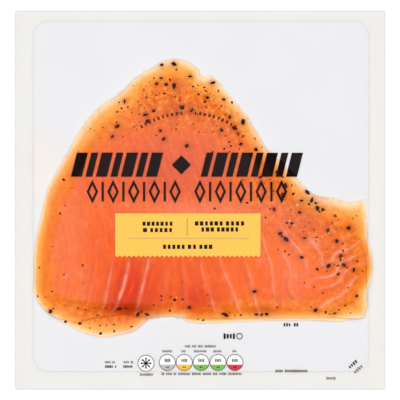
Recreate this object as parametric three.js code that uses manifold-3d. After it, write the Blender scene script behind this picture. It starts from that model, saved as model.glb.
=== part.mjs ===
// A flat vacuum pack of sliced smoked salmon with cracked pepper, lying with its printed face up.
//
// Millimetres, +Z up. X runs to the right of the face and Y to its top. The origin is under the
// middle of the pack, on the surface that the pack lies on.
//
// A sheet of backing film carries a thin card. Four slices lie on the card in a stack, and one
// clear film is drawn down over them and over the card, out to the edge of the backing film.
// Slices and clear film are drawn on the same rays, which start from the heart of the fish, so
// that each piece follows the one below it.

import * as THREE from 'three'
import { mergeVertices } from 'three/addons/utils/BufferGeometryUtils.js'
import Module from 'manifold-3d'

const wasm = await Module()
wasm.setup()

// Films and card
const PACK_WIDTH = 210
const PACK_LENGTH = 215
const BACKING_THICKNESS = 0.4
const CARD_THICKNESS = 0.6
const CARD_WIDTH = 190
const CARD_LENGTH = 198.5
const CARD_CENTRE = new THREE.Vector2(0.5, 2.2)
const CARD_CORNER_RADIUS = 8.5
const CLEAR_FILM_THICKNESS = 0.3

// Air between pieces that touch
const GAP = 0.3

// Slices
const SLICE_THICKNESS = 1.4
const EDGE_SHARE = 0.4
const SHOULDER_WIDTH = 4
const RAY_COUNT = 96
const DENSE_POINTS = 900
const WAVE_HEIGHT = 0.1
const WAVE_LENGTH = 34

// Droop of the top slice where no other slice carries its edge
const CARRIED_REACH = 1
const LEAST_RIM = 2
const DROOP_SLOPE = 0.7

// Clear film over the fish
const FLAKE_ROOM = 0.55
const FILM_CLEARANCE = 0.5
const CARD_CLEARANCE = 1.5
const FILM_RAMP = 4
const FILM_STEP = 1.5

// Cracked pepper
const FLAKE_STANDS_PROUD = 0.42
const SCATTERED_FLAKES = 60
const FLAKE_MARGIN = 2.5
const FLAKE_SPACING = 2.6

// Heart of the fish, from which the rays run
const HEART = new THREE.Vector2(-6, -34)

// Outlines, anticlockwise from the tail side on the right
const TOP_OUTLINE = [
  [94.5, -30], [94.5, -12], [93.6, 0], [89, -1.6], [82, -0.5], [73, 1], [66, 2.2], [59, 7.5], [53, 14],
  [45, 22], [38, 29], [32, 38], [26, 47], [21, 54], [15, 61], [10.5, 67], [5.5, 69.8], [1, 69], [-1.5, 73.5],
  [-6, 78], [-13, 80], [-20.5, 79], [-28, 74.5], [-35.5, 70.5], [-42, 64], [-50.5, 57], [-59.5, 51],
  [-66, 43], [-74.5, 28], [-81, 16], [-86.5, 5], [-89.5, -8.5], [-93, -24], [-94, -39], [-94, -53], [-89, -61.5],
  [-81, -67], [-71, -69], [-60, -67], [-50, -65.5], [-40, -64.5], [-29, -66], [-21.5, -65.5], [-13.5, -64],
  [-4, -66], [14, -66.5], [34, -66], [56, -66], [77, -66.5], [88, -66], [93.5, -62], [94.3, -50],
]
const THIRD_OUTLINE = [
  [93, -14], [96.4, -29], [97.8, -38], [96, -47], [91, -57], [84, -61], [50, -61], [10, -60], [-30, -59],
  [-60, -59], [-82, -54], [-87, -36], [-79, -4], [-62, 34], [-38, 60], [-15, 71], [2, 60], [24, 36], [50, 8], [80, -6],
]
const SECOND_OUTLINE = [
  [88, -20], [89, -52], [87, -65], [82, -69], [58, -68.6], [30, -68], [4, -69.4], [-7, -68.4], [-16, -60],
  [-60, -58], [-82, -52], [-85, -34], [-74, 4], [-56, 38], [-34, 60], [-14, 70], [4, 56], [26, 32], [52, 6], [80, -8],
]
const BOTTOM_OUTLINE = [
  [85, -28], [84, -54], [76, -61], [40, -61], [0, -60], [-22, -61], [-31, -67], [-38, -74], [-46, -76.5],
  [-55, -77.6], [-64, -76], [-72, -72.4], [-82, -66], [-87, -56], [-87, -36], [-76, 0], [-58, 34], [-34, 59],
  [-14, 68], [4, 54], [26, 30], [52, 4], [78, -10],
]

// Largest flakes on the top slice: place, length and turn in degrees
const LARGE_FLAKES = [
  [-14.8, 77.2, 3, 140], [-14.8, 64.7, 3.2, 80], [-19.4, 65.4, 2.2, 0], [-10.2, 52.6, 3, 30], [-5, 50.6, 2.6, 60],
  [4, 58.1, 2.6, 160], [13.3, 57.1, 2, 0], [7.2, 66.6, 3.2, 15], [-30.8, 48.2, 2.8, 10], [16.8, 46.9, 2.4, 60],
  [24.4, 44.2, 2.8, 65], [-7.4, 30.8, 2.4, 30], [60.8, 4.6, 3, 125], [63.4, 0, 3.4, 70], [66.4, -4.6, 2.8, 120],
  [69.4, -5.2, 2.4, 160], [84, -15.8, 2.8, 0], [77.2, -23, 2.2, 110], [79.4, -31.6, 2.2, 80], [81.3, -36.6, 3, 150],
  [72.6, -37, 2.8, 40], [86.8, -39.4, 2.2, 90], [65.4, -62.2, 2.6, 45], [-84.8, -63, 2.6, 60], [-45.4, -61.4, 3, 20],
  [-35.2, -64.4, 2.8, 60], [-30, -64.6, 2.8, 155], [30.6, -51.4, 2.6, 0], [45.4, -19, 2.6, 0], [-49.6, 36, 2.4, 45],
  [-21.7, 76.6, 2, 10], [-21.9, 69, 2, 0], [-24.6, 65.8, 2.2, 20], [-42.8, 56, 2.4, 100], [-46.7, 41.8, 2.6, 20],
  [-29.7, 44.6, 2.5, 40], [-20.5, 34.6, 2.4, 40], [-22.6, 39.2, 2, 150], [-26.3, 50.6, 2, 30], [-5.7, 70.1, 2.2, 5],
  [12.1, 39.5, 2.4, 140], [19.1, 40.8, 3, 160], [21.4, 37.8, 2, 155], [22.8, 31.7, 2, 50], [31.4, 28.6, 2.2, 0],
  [33.5, 22, 2.6, 60], [44, 15.6, 3, 140], [34.4, 9.3, 2.6, 120], [34.1, 13.1, 2, 30], [48.3, 8.4, 3, 110],
  [46.8, 2.7, 3, 50], [57.5, -0.2, 2.2, 0], [56.2, -6.8, 2, 160], [41.7, -5.2, 2.2, 120], [51.8, -13.1, 2.2, 0],
  [72.1, -17, 2.2, 70], [59.1, -21.4, 2, 0], [48.5, -22, 3.2, 145], [57.6, -32.2, 2.2, 10], [88.5, -54.2, 2, 60],
  [76.1, -64, 2, 20], [31.8, -64.6, 2.4, 0], [34.9, -64.8, 2.2, 20], [37.6, -64.4, 2.2, 0], [14.6, -64.9, 3.2, 150],
  [-42.2, -61.1, 2, 150], [-6.2, -60.6, 2.4, 100],
]
const LOWER_FLAKES = [[-76, -68.6, 1.8, 30], [-68, -70.4, 2, 0], [-56.4, -75.4, 2, 0], [-48.6, -72.6, 1.6, 70]]

// Where smaller flakes are spread: share of them, centre and reach. Nothing else sets their places.
const FLAKE_ZONES = [
  { share: 0.3, centre: [-14, 60], reach: [34, 22] },
  { share: 0.24, centre: [32, 30], reach: [34, 30] },
  { share: 0.2, centre: [74, -26], reach: [24, 28] },
  { share: 0.13, centre: [10, -60], reach: [84, 6] },
  { share: 0.13, centre: [-20, -20], reach: [76, 60] },
]

// Heights of the stack
const CARD_BASE = BACKING_THICKNESS + GAP
const CARD_TOP = CARD_BASE + CARD_THICKNESS
const sliceBase = (level) => CARD_TOP + GAP + level * (SLICE_THICKNESS + GAP)
const TOP_BASE = sliceBase(3)

// Angles and distances from the heart to a smooth closed outline
function polarOutline(outline) {
  const corners = outline.map(([x, y]) => new THREE.Vector3(x, y, 0))
  const curve = new THREE.CatmullRomCurve3(corners, true, 'centripetal')
  curve.arcLengthDivisions = DENSE_POINTS
  const polar = curve.getSpacedPoints(DENSE_POINTS).slice(0, DENSE_POINTS).map((point) => {
    const arm = new THREE.Vector2(point.x, point.y).sub(HEART)
    return { angle: arm.angle(), radius: arm.length() }
  })
  return polar.sort((a, b) => a.angle - b.angle)
}

// Distance from the heart to an outline at one angle
function radiusAt(polar, angle) {
  const turn = 2 * Math.PI
  const wrapped = ((angle % turn) + turn) % turn
  const after = polar.findIndex((point) => point.angle >= wrapped)
  const next = after < 0 ? polar[0] : polar[after]
  const last = after <= 0 ? polar[polar.length - 1] : polar[after - 1]
  const span = (next.angle - last.angle + turn) % turn
  const share = span > 0 ? ((wrapped - last.angle + turn) % turn) / span : 0
  return THREE.MathUtils.lerp(last.radius, next.radius, share)
}

// Distance from the heart to the side of an upright rectangle at one angle
function rectangleRadius(centre, width, length, angle) {
  const [dx, dy] = [Math.cos(angle), Math.sin(angle)]
  const toSide = (centre.x + Math.sign(dx) * width / 2 - HEART.x) / dx
  const toEnd = (centre.y + Math.sign(dy) * length / 2 - HEART.y) / dy
  return Math.min(Math.abs(toSide), Math.abs(toEnd))
}

const topPolar = polarOutline(TOP_OUTLINE)
const lowerPolars = [BOTTOM_OUTLINE, SECOND_OUTLINE, THIRD_OUTLINE].map(polarOutline)

// Rays at even steps round the top slice, and one to each corner of the pack
function makeRays() {
  const step = DENSE_POINTS / RAY_COUNT
  const around = Array.from({ length: RAY_COUNT }, (_, i) => topPolar[Math.round(i * step)].angle)
  const corners = [[1, 1], [-1, 1], [-1, -1], [1, -1]].map(([x, y]) =>
    new THREE.Vector2(x * PACK_WIDTH / 2, y * PACK_LENGTH / 2).sub(HEART).angle())
  return [...around, ...corners].sort((a, b) => a - b)
}

const RAYS = makeRays()
const topRadius = (angle) => radiusAt(topPolar, angle)
const lowerRadius = (angle) => Math.max(...lowerPolars.map((polar) => radiusAt(polar, angle)))
const supportRadius = (angle) => lowerRadius(angle) + CARRIED_REACH
const carriedRadius = (angle) => Math.min(supportRadius(angle), topRadius(angle) - LEAST_RIM)

// Low swell of the flesh, so that no slice lies dead flat
function swell(x, y) {
  const turns = 2 * Math.PI / WAVE_LENGTH
  return WAVE_HEIGHT * (Math.sin(x * turns + 0.6 * Math.sin(y * turns)) + Math.cos(y * turns * 0.8))
}

// A point at one distance along a ray
const alongRay = (angle, radius) =>
  new THREE.Vector2(HEART.x + radius * Math.cos(angle), HEART.y + radius * Math.sin(angle))

// Underside of the top slice, which sags past the slices that carry it
function topSliceBase(angle, radius) {
  const unsupported = Math.max(0, radius - supportRadius(angle))
  return Math.max(CARD_TOP + GAP, TOP_BASE - DROOP_SLOPE * unsupported)
}

// Face of the top slice, which thins towards its edge
function topSliceFace(angle, radius) {
  const carried = carriedRadius(angle)
  const rim = THREE.MathUtils.clamp((radius - carried) / (topRadius(angle) - carried), 0, 1)
  const thickness = SLICE_THICKNESS * (1 - (1 - EDGE_SHARE) * rim * rim)
  const { x, y } = alongRay(angle, radius)
  return topSliceBase(angle, radius) + thickness + swell(x, y) * (1 - rim)
}

// Closed solid between an upper and a lower stack of rings with one outer edge
function ringSolid(upper, lower) {
  const positions = []
  const triangles = []
  const count = RAYS.length
  const addFace = ({ middle, rings }, up) => {
    const pole = positions.length / 3
    const put = (a, b, c) => triangles.push(...(up ? [a, b, c] : [a, c, b]))
    positions.push(HEART.x, HEART.y, middle)
    for (const ring of rings) {
      RAYS.forEach((angle, i) => {
        const { x, y } = alongRay(angle, ring[i].radius)
        positions.push(x, y, ring[i].height)
      })
    }
    for (let i = 0; i < count; i++) {
      const after = (i + 1) % count
      put(pole, pole + 1 + i, pole + 1 + after)
      for (let j = 1; j < rings.length; j++) {
        const inner = pole + 1 + (j - 1) * count
        const outer = inner + count
        put(inner + i, outer + i, outer + after)
        put(inner + i, outer + after, inner + after)
      }
    }
    return pole + 1 + (rings.length - 1) * count
  }
  const upperRim = addFace(upper, true)
  const lowerRim = addFace(lower, false)
  for (let i = 0; i < count; i++) {
    const after = (i + 1) % count
    triangles.push(lowerRim + i, lowerRim + after, upperRim + after)
    triangles.push(lowerRim + i, upperRim + after, upperRim + i)
  }
  const geometry = new THREE.BufferGeometry()
  geometry.setAttribute('position', new THREE.Float32BufferAttribute(positions, 3))
  geometry.setIndex(triangles)
  return geometry
}

// One ring: a distance and a height for each ray
const ringOf = (radius, height) => RAYS.map((angle) => {
  const distance = radius(angle)
  return { radius: distance, height: height(angle, distance) }
})

// Slice that lies flat under others
function flatSlice(polar, level) {
  const base = sliceBase(level)
  const edge = (angle) => radiusAt(polar, angle)
  const shoulder = (angle) => edge(angle) - SHOULDER_WIDTH
  const upper = {
    middle: base + SLICE_THICKNESS,
    rings: [
      ringOf(shoulder, () => base + SLICE_THICKNESS),
      ringOf(edge, () => base + SLICE_THICKNESS * EDGE_SHARE),
    ],
  }
  const lower = { middle: base, rings: [ringOf(edge, () => base)] }
  return ringSolid(upper, lower)
}

// Slice on top of the stack, before its pepper
function topSlice() {
  const within = (share) => (angle) => share * carriedRadius(angle)
  const beyond = (share) => (angle) =>
    THREE.MathUtils.lerp(carriedRadius(angle), topRadius(angle), share)
  const radii = [within(0.3), within(0.58), within(0.82), within(1), beyond(0.5), beyond(1)]
  const upper = {
    middle: topSliceFace(0, 0),
    rings: radii.map((radius) => ringOf(radius, topSliceFace)),
  }
  const lowerRadii = [within(1), beyond(0.5), beyond(1)]
  const lower = {
    middle: TOP_BASE,
    rings: lowerRadii.map((radius) => ringOf(radius, topSliceBase)),
  }
  return ringSolid(upper, lower)
}

// Clear film, drawn over the fish, over the edge of the card and out to the edge of the pack
function clearFilm() {
  const card = (angle) => rectangleRadius(CARD_CENTRE, CARD_WIDTH, CARD_LENGTH, angle)
  const overTop = (angle) => topRadius(angle) + FILM_CLEARANCE
  const overLower = (angle) => Math.max(overTop(angle), lowerRadius(angle)) + FILM_CLEARANCE
  const rampEnd = (angle) => overLower(angle) + FILM_RAMP
  const cardEdge = (angle) =>
    Math.max(card(angle) + CARD_CLEARANCE, rampEnd(angle) + FILM_CLEARANCE)
  const room = GAP + FLAKE_ROOM
  const fishHeight = (angle, radius) =>
    topSliceFace(angle, Math.min(radius, topRadius(angle))) + room
  const flatHeight = TOP_BASE + SLICE_THICKNESS + 2 * WAVE_HEIGHT + room
  const lowerHeight = (angle) => {
    const tops = lowerPolars.map((polar, level) =>
      (radiusAt(polar, angle) > topRadius(angle) - CARRIED_REACH ? sliceBase(level) + SLICE_THICKNESS : 0))
    return Math.max(CARD_TOP + GAP, Math.max(...tops) + room)
  }
  const besideHeight = (angle) => (lowerRadius(angle) > topRadius(angle)
    ? lowerHeight(angle)
    : fishHeight(angle, topRadius(angle)) - GAP)
  const onCard = CARD_TOP + GAP
  const onBacking = BACKING_THICKNESS + GAP
  const levels = [
    [carriedRadius, () => flatHeight],
    [(angle) => (carriedRadius(angle) + topRadius(angle)) / 2, fishHeight],
    [overTop, (angle, radius) => Math.max(fishHeight(angle, radius), lowerHeight(angle))],
    [overLower, besideHeight],
    [rampEnd, () => onCard],
    [cardEdge, () => onCard],
    [(angle) => cardEdge(angle) + FILM_STEP, () => onBacking],
    [(angle) => rectangleRadius(new THREE.Vector2(), PACK_WIDTH, PACK_LENGTH, angle), () => onBacking],
  ]
  const face = (lift) => ({
    middle: flatHeight + lift,
    rings: levels.map(([radius, height]) => ringOf(radius, (angle, distance) => height(angle, distance) + lift)),
  })
  return ringSolid(face(CLEAR_FILM_THICKNESS), face(0))
}

// Plain sheet
function sheet(width, length, thickness, cornerRadius) {
  const [x, y] = [width / 2, length / 2]
  const shape = new THREE.Shape()
  shape.moveTo(-x + cornerRadius, -y)
  shape.lineTo(x - cornerRadius, -y)
  shape.absarc(x - cornerRadius, -y + cornerRadius, cornerRadius, -Math.PI / 2, 0)
  shape.lineTo(x, y - cornerRadius)
  shape.absarc(x - cornerRadius, y - cornerRadius, cornerRadius, 0, Math.PI / 2)
  shape.lineTo(-x + cornerRadius, y)
  shape.absarc(-x + cornerRadius, y - cornerRadius, cornerRadius, Math.PI / 2, Math.PI)
  shape.lineTo(-x, -y + cornerRadius)
  shape.absarc(-x + cornerRadius, -y + cornerRadius, cornerRadius, Math.PI, 1.5 * Math.PI)
  return new THREE.ExtrudeGeometry(shape, { depth: thickness, bevelEnabled: false, curveSegments: 8 })
}

// Repeatable number between 0 and 1 for each whole number
function chance(index) {
  const value = Math.sin(index * 12.9898 + 78.233) * 43758.5453
  return value - Math.floor(value)
}

// Polar place of a point
function polarPlace(x, y) {
  const arm = new THREE.Vector2(x, y).sub(HEART)
  return { angle: arm.angle(), radius: arm.length() }
}

// Smaller flakes: places in the zones, kept on the slice and clear of one another
function scatterFlakes() {
  const placed = LARGE_FLAKES.map(([x, y, length]) => ({ x, y, length }))
  const scattered = []
  let draw = 0
  for (const { share, centre, reach } of FLAKE_ZONES) {
    const wanted = scattered.length + Math.round(share * SCATTERED_FLAKES)
    while (scattered.length < wanted) {
      const spread = Math.sqrt(chance(draw + 1))
      const around = 2 * Math.PI * chance(draw + 2)
      const x = centre[0] + reach[0] * spread * Math.cos(around)
      const y = centre[1] + reach[1] * spread * Math.sin(around)
      const length = 1.1 + 1.1 * chance(draw + 3) ** 2
      const turn = 180 * chance(draw + 4)
      draw += 4
      const { angle, radius } = polarPlace(x, y)
      const onSlice = radius < topRadius(angle) - FLAKE_MARGIN
      const clear = placed.every((other) => Math.hypot(other.x - x, other.y - y) > FLAKE_SPACING)
      if (onSlice && clear) {
        placed.push({ x, y, length })
        scattered.push([x, y, length, turn])
      }
    }
  }
  return scattered
}

// Cracked corn of pepper: an uneven pebble, half sunk in the flesh and lying along its slope
function flake([x, y, length, turn], index, height) {
  const geometry = new THREE.IcosahedronGeometry(1, 0)
  geometry.deleteAttribute('normal')
  geometry.deleteAttribute('uv')
  const pebble = mergeVertices(geometry)
  const points = pebble.attributes.position
  const corner = new THREE.Vector3()
  for (let i = 0; i < points.count; i++) {
    corner.fromBufferAttribute(points, i).multiplyScalar(0.78 + 0.34 * chance(1000 + index * 12 + i))
    points.setXYZ(i, corner.x, corner.y, corner.z)
  }
  pebble.scale(length / 2, length * (0.3 + 0.12 * chance(500 + index)), FLAKE_STANDS_PROUD)
  pebble.rotateZ(THREE.MathUtils.degToRad(turn))
  pebble.translate(x, y, 0)
  for (let i = 0; i < points.count; i++) {
    points.setZ(i, points.getZ(i) + height(points.getX(i), points.getY(i)))
  }
  return pebble
}

// Manifold solid of a geometry
function solidOf(geometry) {
  const merged = mergeVertices(geometry, 1e-5)
  return new wasm.Manifold(new wasm.Mesh({
    numProp: 3,
    vertProperties: new Float32Array(merged.attributes.position.array),
    triVerts: new Uint32Array(merged.index.array),
  }))
}

// Slice with its pepper fused on
function peppered(slice, flakes, height) {
  let solid = solidOf(slice)
  flakes.forEach((place, index) => {
    solid = solid.add(solidOf(flake(place, index, height)))
  })
  const mesh = solid.getMesh()
  const geometry = new THREE.BufferGeometry()
  geometry.setAttribute('position', new THREE.Float32BufferAttribute(mesh.vertProperties, 3))
  geometry.setIndex(Array.from(mesh.triVerts))
  return geometry
}

// One named piece
function piece(name, geometry, color, roughness) {
  geometry.computeVertexNormals()
  const material = new THREE.MeshStandardMaterial({ color, roughness, metalness: 0 })
  const mesh = new THREE.Mesh(geometry, material)
  mesh.name = name
  return mesh
}

const backing = piece('backing_film', sheet(PACK_WIDTH, PACK_LENGTH, BACKING_THICKNESS, 1), 0xf0efeb, 0.4)

const card = piece('card', sheet(CARD_WIDTH, CARD_LENGTH, CARD_THICKNESS, CARD_CORNER_RADIUS), 0xeeeef0, 0.7)
card.position.set(CARD_CENTRE.x, CARD_CENTRE.y, CARD_BASE)

const [bottomPolar, secondPolar, thirdPolar] = lowerPolars
const bottomSlice = peppered(flatSlice(bottomPolar, 0), LOWER_FLAKES, () => sliceBase(0) + SLICE_THICKNESS - GAP)
const topFlakes = [...LARGE_FLAKES, ...scatterFlakes()]
const topFace = (x, y) => {
  const { angle, radius } = polarPlace(x, y)
  return topSliceFace(angle, radius)
}

const fish = new THREE.Group()
fish.add(
  piece('slice_bottom', bottomSlice, 0xf5a75a, 0.35),
  piece('slice_second', flatSlice(secondPolar, 1), 0xf59a52, 0.35),
  piece('slice_third', flatSlice(thirdPolar, 2), 0xf58a48, 0.35),
  piece('slice_top', peppered(topSlice(), topFlakes, topFace), 0xf36534, 0.3),
)

const film = piece('clear_film', clearFilm(), 0xf4f4f4, 0.1)
film.material.transparent = true
film.material.opacity = 0.3

const group = new THREE.Group()
group.add(backing, card, fish, film)

export default group
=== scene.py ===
"""A flat vacuum pack of sliced smoked salmon with cracked pepper, seen from straight above.

The pack lies with its printed face up. The backing film and the card are the CAD pieces with
better materials. The four slices, the pepper, the clear film and the plain print on it are
surfaces worked out here, in millimetres, and put into meshes in metres.
"""
import logging
import math
from dataclasses import dataclass, field
from enum import Enum
from functools import partial
from typing import Callable, ClassVar, Sequence

import bmesh
import bpy
import numpy as np
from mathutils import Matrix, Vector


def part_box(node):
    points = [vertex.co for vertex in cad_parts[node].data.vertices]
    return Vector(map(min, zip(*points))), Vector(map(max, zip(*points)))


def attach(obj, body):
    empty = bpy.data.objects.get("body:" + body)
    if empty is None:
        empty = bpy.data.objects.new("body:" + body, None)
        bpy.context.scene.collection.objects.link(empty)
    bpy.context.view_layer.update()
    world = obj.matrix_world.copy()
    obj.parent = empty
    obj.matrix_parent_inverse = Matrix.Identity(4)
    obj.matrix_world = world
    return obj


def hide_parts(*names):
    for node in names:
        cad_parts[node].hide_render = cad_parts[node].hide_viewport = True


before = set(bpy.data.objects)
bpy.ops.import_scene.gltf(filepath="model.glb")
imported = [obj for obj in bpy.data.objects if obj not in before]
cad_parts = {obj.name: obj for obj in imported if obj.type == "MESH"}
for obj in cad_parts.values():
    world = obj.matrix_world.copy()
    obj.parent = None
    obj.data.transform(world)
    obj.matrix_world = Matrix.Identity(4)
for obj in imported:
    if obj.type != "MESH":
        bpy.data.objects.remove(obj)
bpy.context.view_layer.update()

LOG = logging.getLogger("smoked_salmon_pack")

MM = 0.001
TURN = 2.0 * math.pi

# Heart of the fish, from which the rays of every slice run, in millimetres
HEART = np.array([-6.0, -34.0])

# Numbers that scramble an index into a draw between 0 and 1
DRAW_STEP, DRAW_START, DRAW_SPREAD = 12.9898, 78.233, 43758.5453

Array = np.ndarray
Place = tuple[float, float]
Spot = tuple[float, float, float]
Piece = bpy.types.Object
Material = bpy.types.Material
Tree = bpy.types.NodeTree
Node = bpy.types.Node
Socket = bpy.types.NodeSocket
Colour = tuple[int, int, int]


def srgb(red: int, green: int, blue: int) -> tuple[float, float, float, float]:
    """Turn a display colour from 0 to 255 into a linear colour.

    Args:
        red: Red channel.
        green: Green channel.
        blue: Blue channel.

    Returns:
        The linear colour with full opacity.
    """
    levels = np.array([red, green, blue]) / 255.0
    linear = np.where(levels <= 0.04045, levels / 12.92, ((levels + 0.055) / 1.055) ** 2.4)
    return (*(float(value) for value in linear), 1.0)


def smoothstep(low: float, high: float, value: Array) -> Array:
    """Rise from 0 to 1 as 3t^2 - 2t^3, where t is the share of the way from low to high.

    Args:
        low: Where the rise starts.
        high: Where it ends.
        value: Where it is wanted.

    Returns:
        The risen numbers.
    """
    share = np.clip((value - low) / (high - low), 0.0, 1.0)
    return share * share * (3.0 - 2.0 * share)


def soft_max(heights: Sequence[Array], softness: float) -> Array:
    """Upper envelope with rounded joins: softness times the log of the sum of exponentials.

    Args:
        heights: Fields of one shape.
        softness: Height over which two fields blend.

    Returns:
        The rounded envelope.
    """
    stack = np.stack(heights) / softness
    top = stack.max(axis=0)
    return softness * (top + np.log(np.exp(stack - top).sum(axis=0)))


def chance(index: float) -> float:
    """Repeatable number between 0 and 1: the fraction of a large multiple of a sine."""
    value = math.sin(index * DRAW_STEP + DRAW_START) * DRAW_SPREAD
    return value - math.floor(value)


def polar(x: Array, y: Array) -> tuple[Array, Array]:
    """Angle and distance of points from the heart of the fish.

    Args:
        x: Places across the pack.
        y: Places up the pack.

    Returns:
        Angles from 0 to a whole turn, and distances.
    """
    arm_x = np.asarray(x) - HEART[0]
    arm_y = np.asarray(y) - HEART[1]
    return np.arctan2(arm_y, arm_x) % TURN, np.hypot(arm_x, arm_y)


def placed(angle: Array, radius: Array) -> tuple[Array, Array]:
    """Places at angles and distances from the heart of the fish."""
    return HEART[0] + radius * np.cos(angle), HEART[1] + radius * np.sin(angle)


class Outline:
    """Smooth closed outline, kept as distance from the heart against angle."""

    SAMPLES: ClassVar[int] = 24
    WAVES: ClassVar[tuple[int, int, int]] = (23, 190, 7)

    def __init__(self, corners: Sequence[Place], ragged: float = 0.0, seed: int = 0) -> None:
        """Draw the curve through the corners.

        Args:
            corners: Points of the outline, anticlockwise.
            ragged: Reach of the small unevenness of a cut edge.
            seed: Seed of that unevenness.
        """
        self.points = self._spline(np.array(corners, dtype=float))
        angle, radius = polar(self.points[:, 0], self.points[:, 1])
        order = np.argsort(angle)
        self._angle = angle[order]
        self._radius = radius[order]
        draw = np.random.default_rng(seed)
        self._waves = np.arange(*self.WAVES)
        self._phases = draw.uniform(0.0, TURN, self._waves.size)
        fade = np.sqrt(self._waves / self._waves[0])
        self._heights = ragged * draw.uniform(0.3, 1.0, self._waves.size) / fade

    def _spline(self, corners: Array) -> Array:
        """Centripetal Catmull-Rom curve: a cubic between two corners, whose end slopes come from
        the neighbours, weighted by the square roots of the distances.

        Args:
            corners: Corners of the outline, one row each.

        Returns:
            Points of the curve, one row each.
        """
        before, start = np.roll(corners, 1, axis=0), corners
        end, after = np.roll(corners, -1, axis=0), np.roll(corners, -2, axis=0)
        gap_in = np.sqrt(np.linalg.norm(start - before, axis=1))[:, None]
        gap = np.sqrt(np.linalg.norm(end - start, axis=1))[:, None]
        gap_out = np.sqrt(np.linalg.norm(after - end, axis=1))[:, None]
        slope_in = gap * ((start - before) / gap_in - (end - before) / (gap_in + gap) + (end - start) / gap)
        slope_out = gap * ((end - start) / gap - (after - start) / (gap + gap_out) + (after - end) / gap_out)
        share = (np.arange(self.SAMPLES) / self.SAMPLES)[None, :, None]
        start, end = start[:, None, :], end[:, None, :]
        slope_in, slope_out = slope_in[:, None, :], slope_out[:, None, :]
        curve = (start + slope_in * share
                 + (3.0 * (end - start) - 2.0 * slope_in - slope_out) * share ** 2
                 + (2.0 * (start - end) + slope_in + slope_out) * share ** 3)
        return curve.reshape(-1, 2)

    def radius(self, angle: Array) -> Array:
        """Distance from the heart to the smooth outline at each angle."""
        return np.interp(np.asarray(angle) % TURN, self._angle, self._radius, period=TURN)

    def ragged_radius(self, angle: Array) -> Array:
        """Distance to the uneven cut edge: the smooth one plus a sum of short sine waves."""
        waves = np.sin(np.asarray(angle)[..., None] * self._waves + self._phases) * self._heights
        return self.radius(angle) + waves.sum(axis=-1)


@dataclass(frozen=True)
class FatLine:
    """One pale seam between two blocks of muscle.

    Attributes:
        order: Its count from the left, which seams that meet in a chevron share.
        strength: How clearly it shows, from 0 to 1.
        points: Places along it.
    """

    order: float
    strength: float
    points: tuple[Place, ...]


class MuscleField:
    """Smooth field over the fish that is a whole number along every seam of fat."""

    REACH: ClassVar[float] = 2.1
    STEP: ClassVar[float] = 0.5
    LONGEST: ClassVar[float] = 16.0
    LOOSENESS: ClassVar[float] = 2.0
    TAPER: ClassVar[Place] = (-0.08, 0.16)
    DENSE: ClassVar[int] = 9

    def __init__(self, lines: Sequence[FatLine]) -> None:
        """Fit a thin-plate surface through the seams.

        Args:
            lines: The seams.
        """
        self._lines = lines
        self._points = np.array([point for line in lines for point in line.points])
        orders = np.array([line.order for line in lines for _ in line.points])
        count = len(self._points)
        bending = self._kernel(self._points) + np.eye(count) * self.LOOSENESS
        flat = np.column_stack([np.ones(count), self._points])
        system = np.block([[bending, flat], [flat.T, np.zeros((3, 3))]])
        self._weights = np.linalg.solve(system, np.concatenate([orders, np.zeros(3)]))

    def _kernel(self, places: Array) -> Array:
        """Thin-plate kernel: squared distance times its logarithm."""
        squared = ((places[:, None, :] - self._points[None, :, :]) ** 2).sum(axis=2)
        return 0.5 * squared * np.log(squared + 1e-9)

    def order(self, x: Array, y: Array) -> Array:
        """Count of seams to the left of each point, as a smooth number."""
        places = np.column_stack([x, y])
        return self._kernel(places) @ self._weights[:-3] + self._weights[-3] + places @ self._weights[-2:]

    def pace(self, x: Array, y: Array) -> Array:
        """Millimetres from seam to seam at each point: one over the slope of the field.

        Args:
            x: Places across the pack.
            y: Places up the pack.

        Returns:
            The distances.
        """
        across = self.order(x + self.STEP, y) - self.order(x - self.STEP, y)
        along = self.order(x, y + self.STEP) - self.order(x, y - self.STEP)
        return np.minimum(2.0 * self.STEP / (np.hypot(across, along) + 1e-6), self.LONGEST)

    def strength(self, x: Array, y: Array) -> Array:
        """How clearly seams show at each point: the largest of bells on dense seam points, which
        taper towards both ends of a seam.

        Args:
            x: Places across the pack.
            y: Places up the pack.

        Returns:
            Numbers from 0 to 1.
        """
        places = np.column_stack([x, y])
        total = np.zeros(len(places))
        for line in self._lines:
            corners = np.array(line.points)
            share = np.linspace(0.0, 1.0, self.DENSE * len(corners))
            along = np.linspace(0.0, 1.0, len(corners))
            dense = np.column_stack([np.interp(share, along, corners[:, axis]) for axis in (0, 1)])
            taper = smoothstep(*self.TAPER, share) * smoothstep(*self.TAPER, 1.0 - share)
            squared = ((places[:, None, :] - dense[None, :, :]) ** 2).sum(axis=2)
            bell = line.strength * taper * np.exp(-squared / (2.0 * self.REACH ** 2))
            total = np.maximum(total, bell.max(axis=1))
        return total


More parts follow.
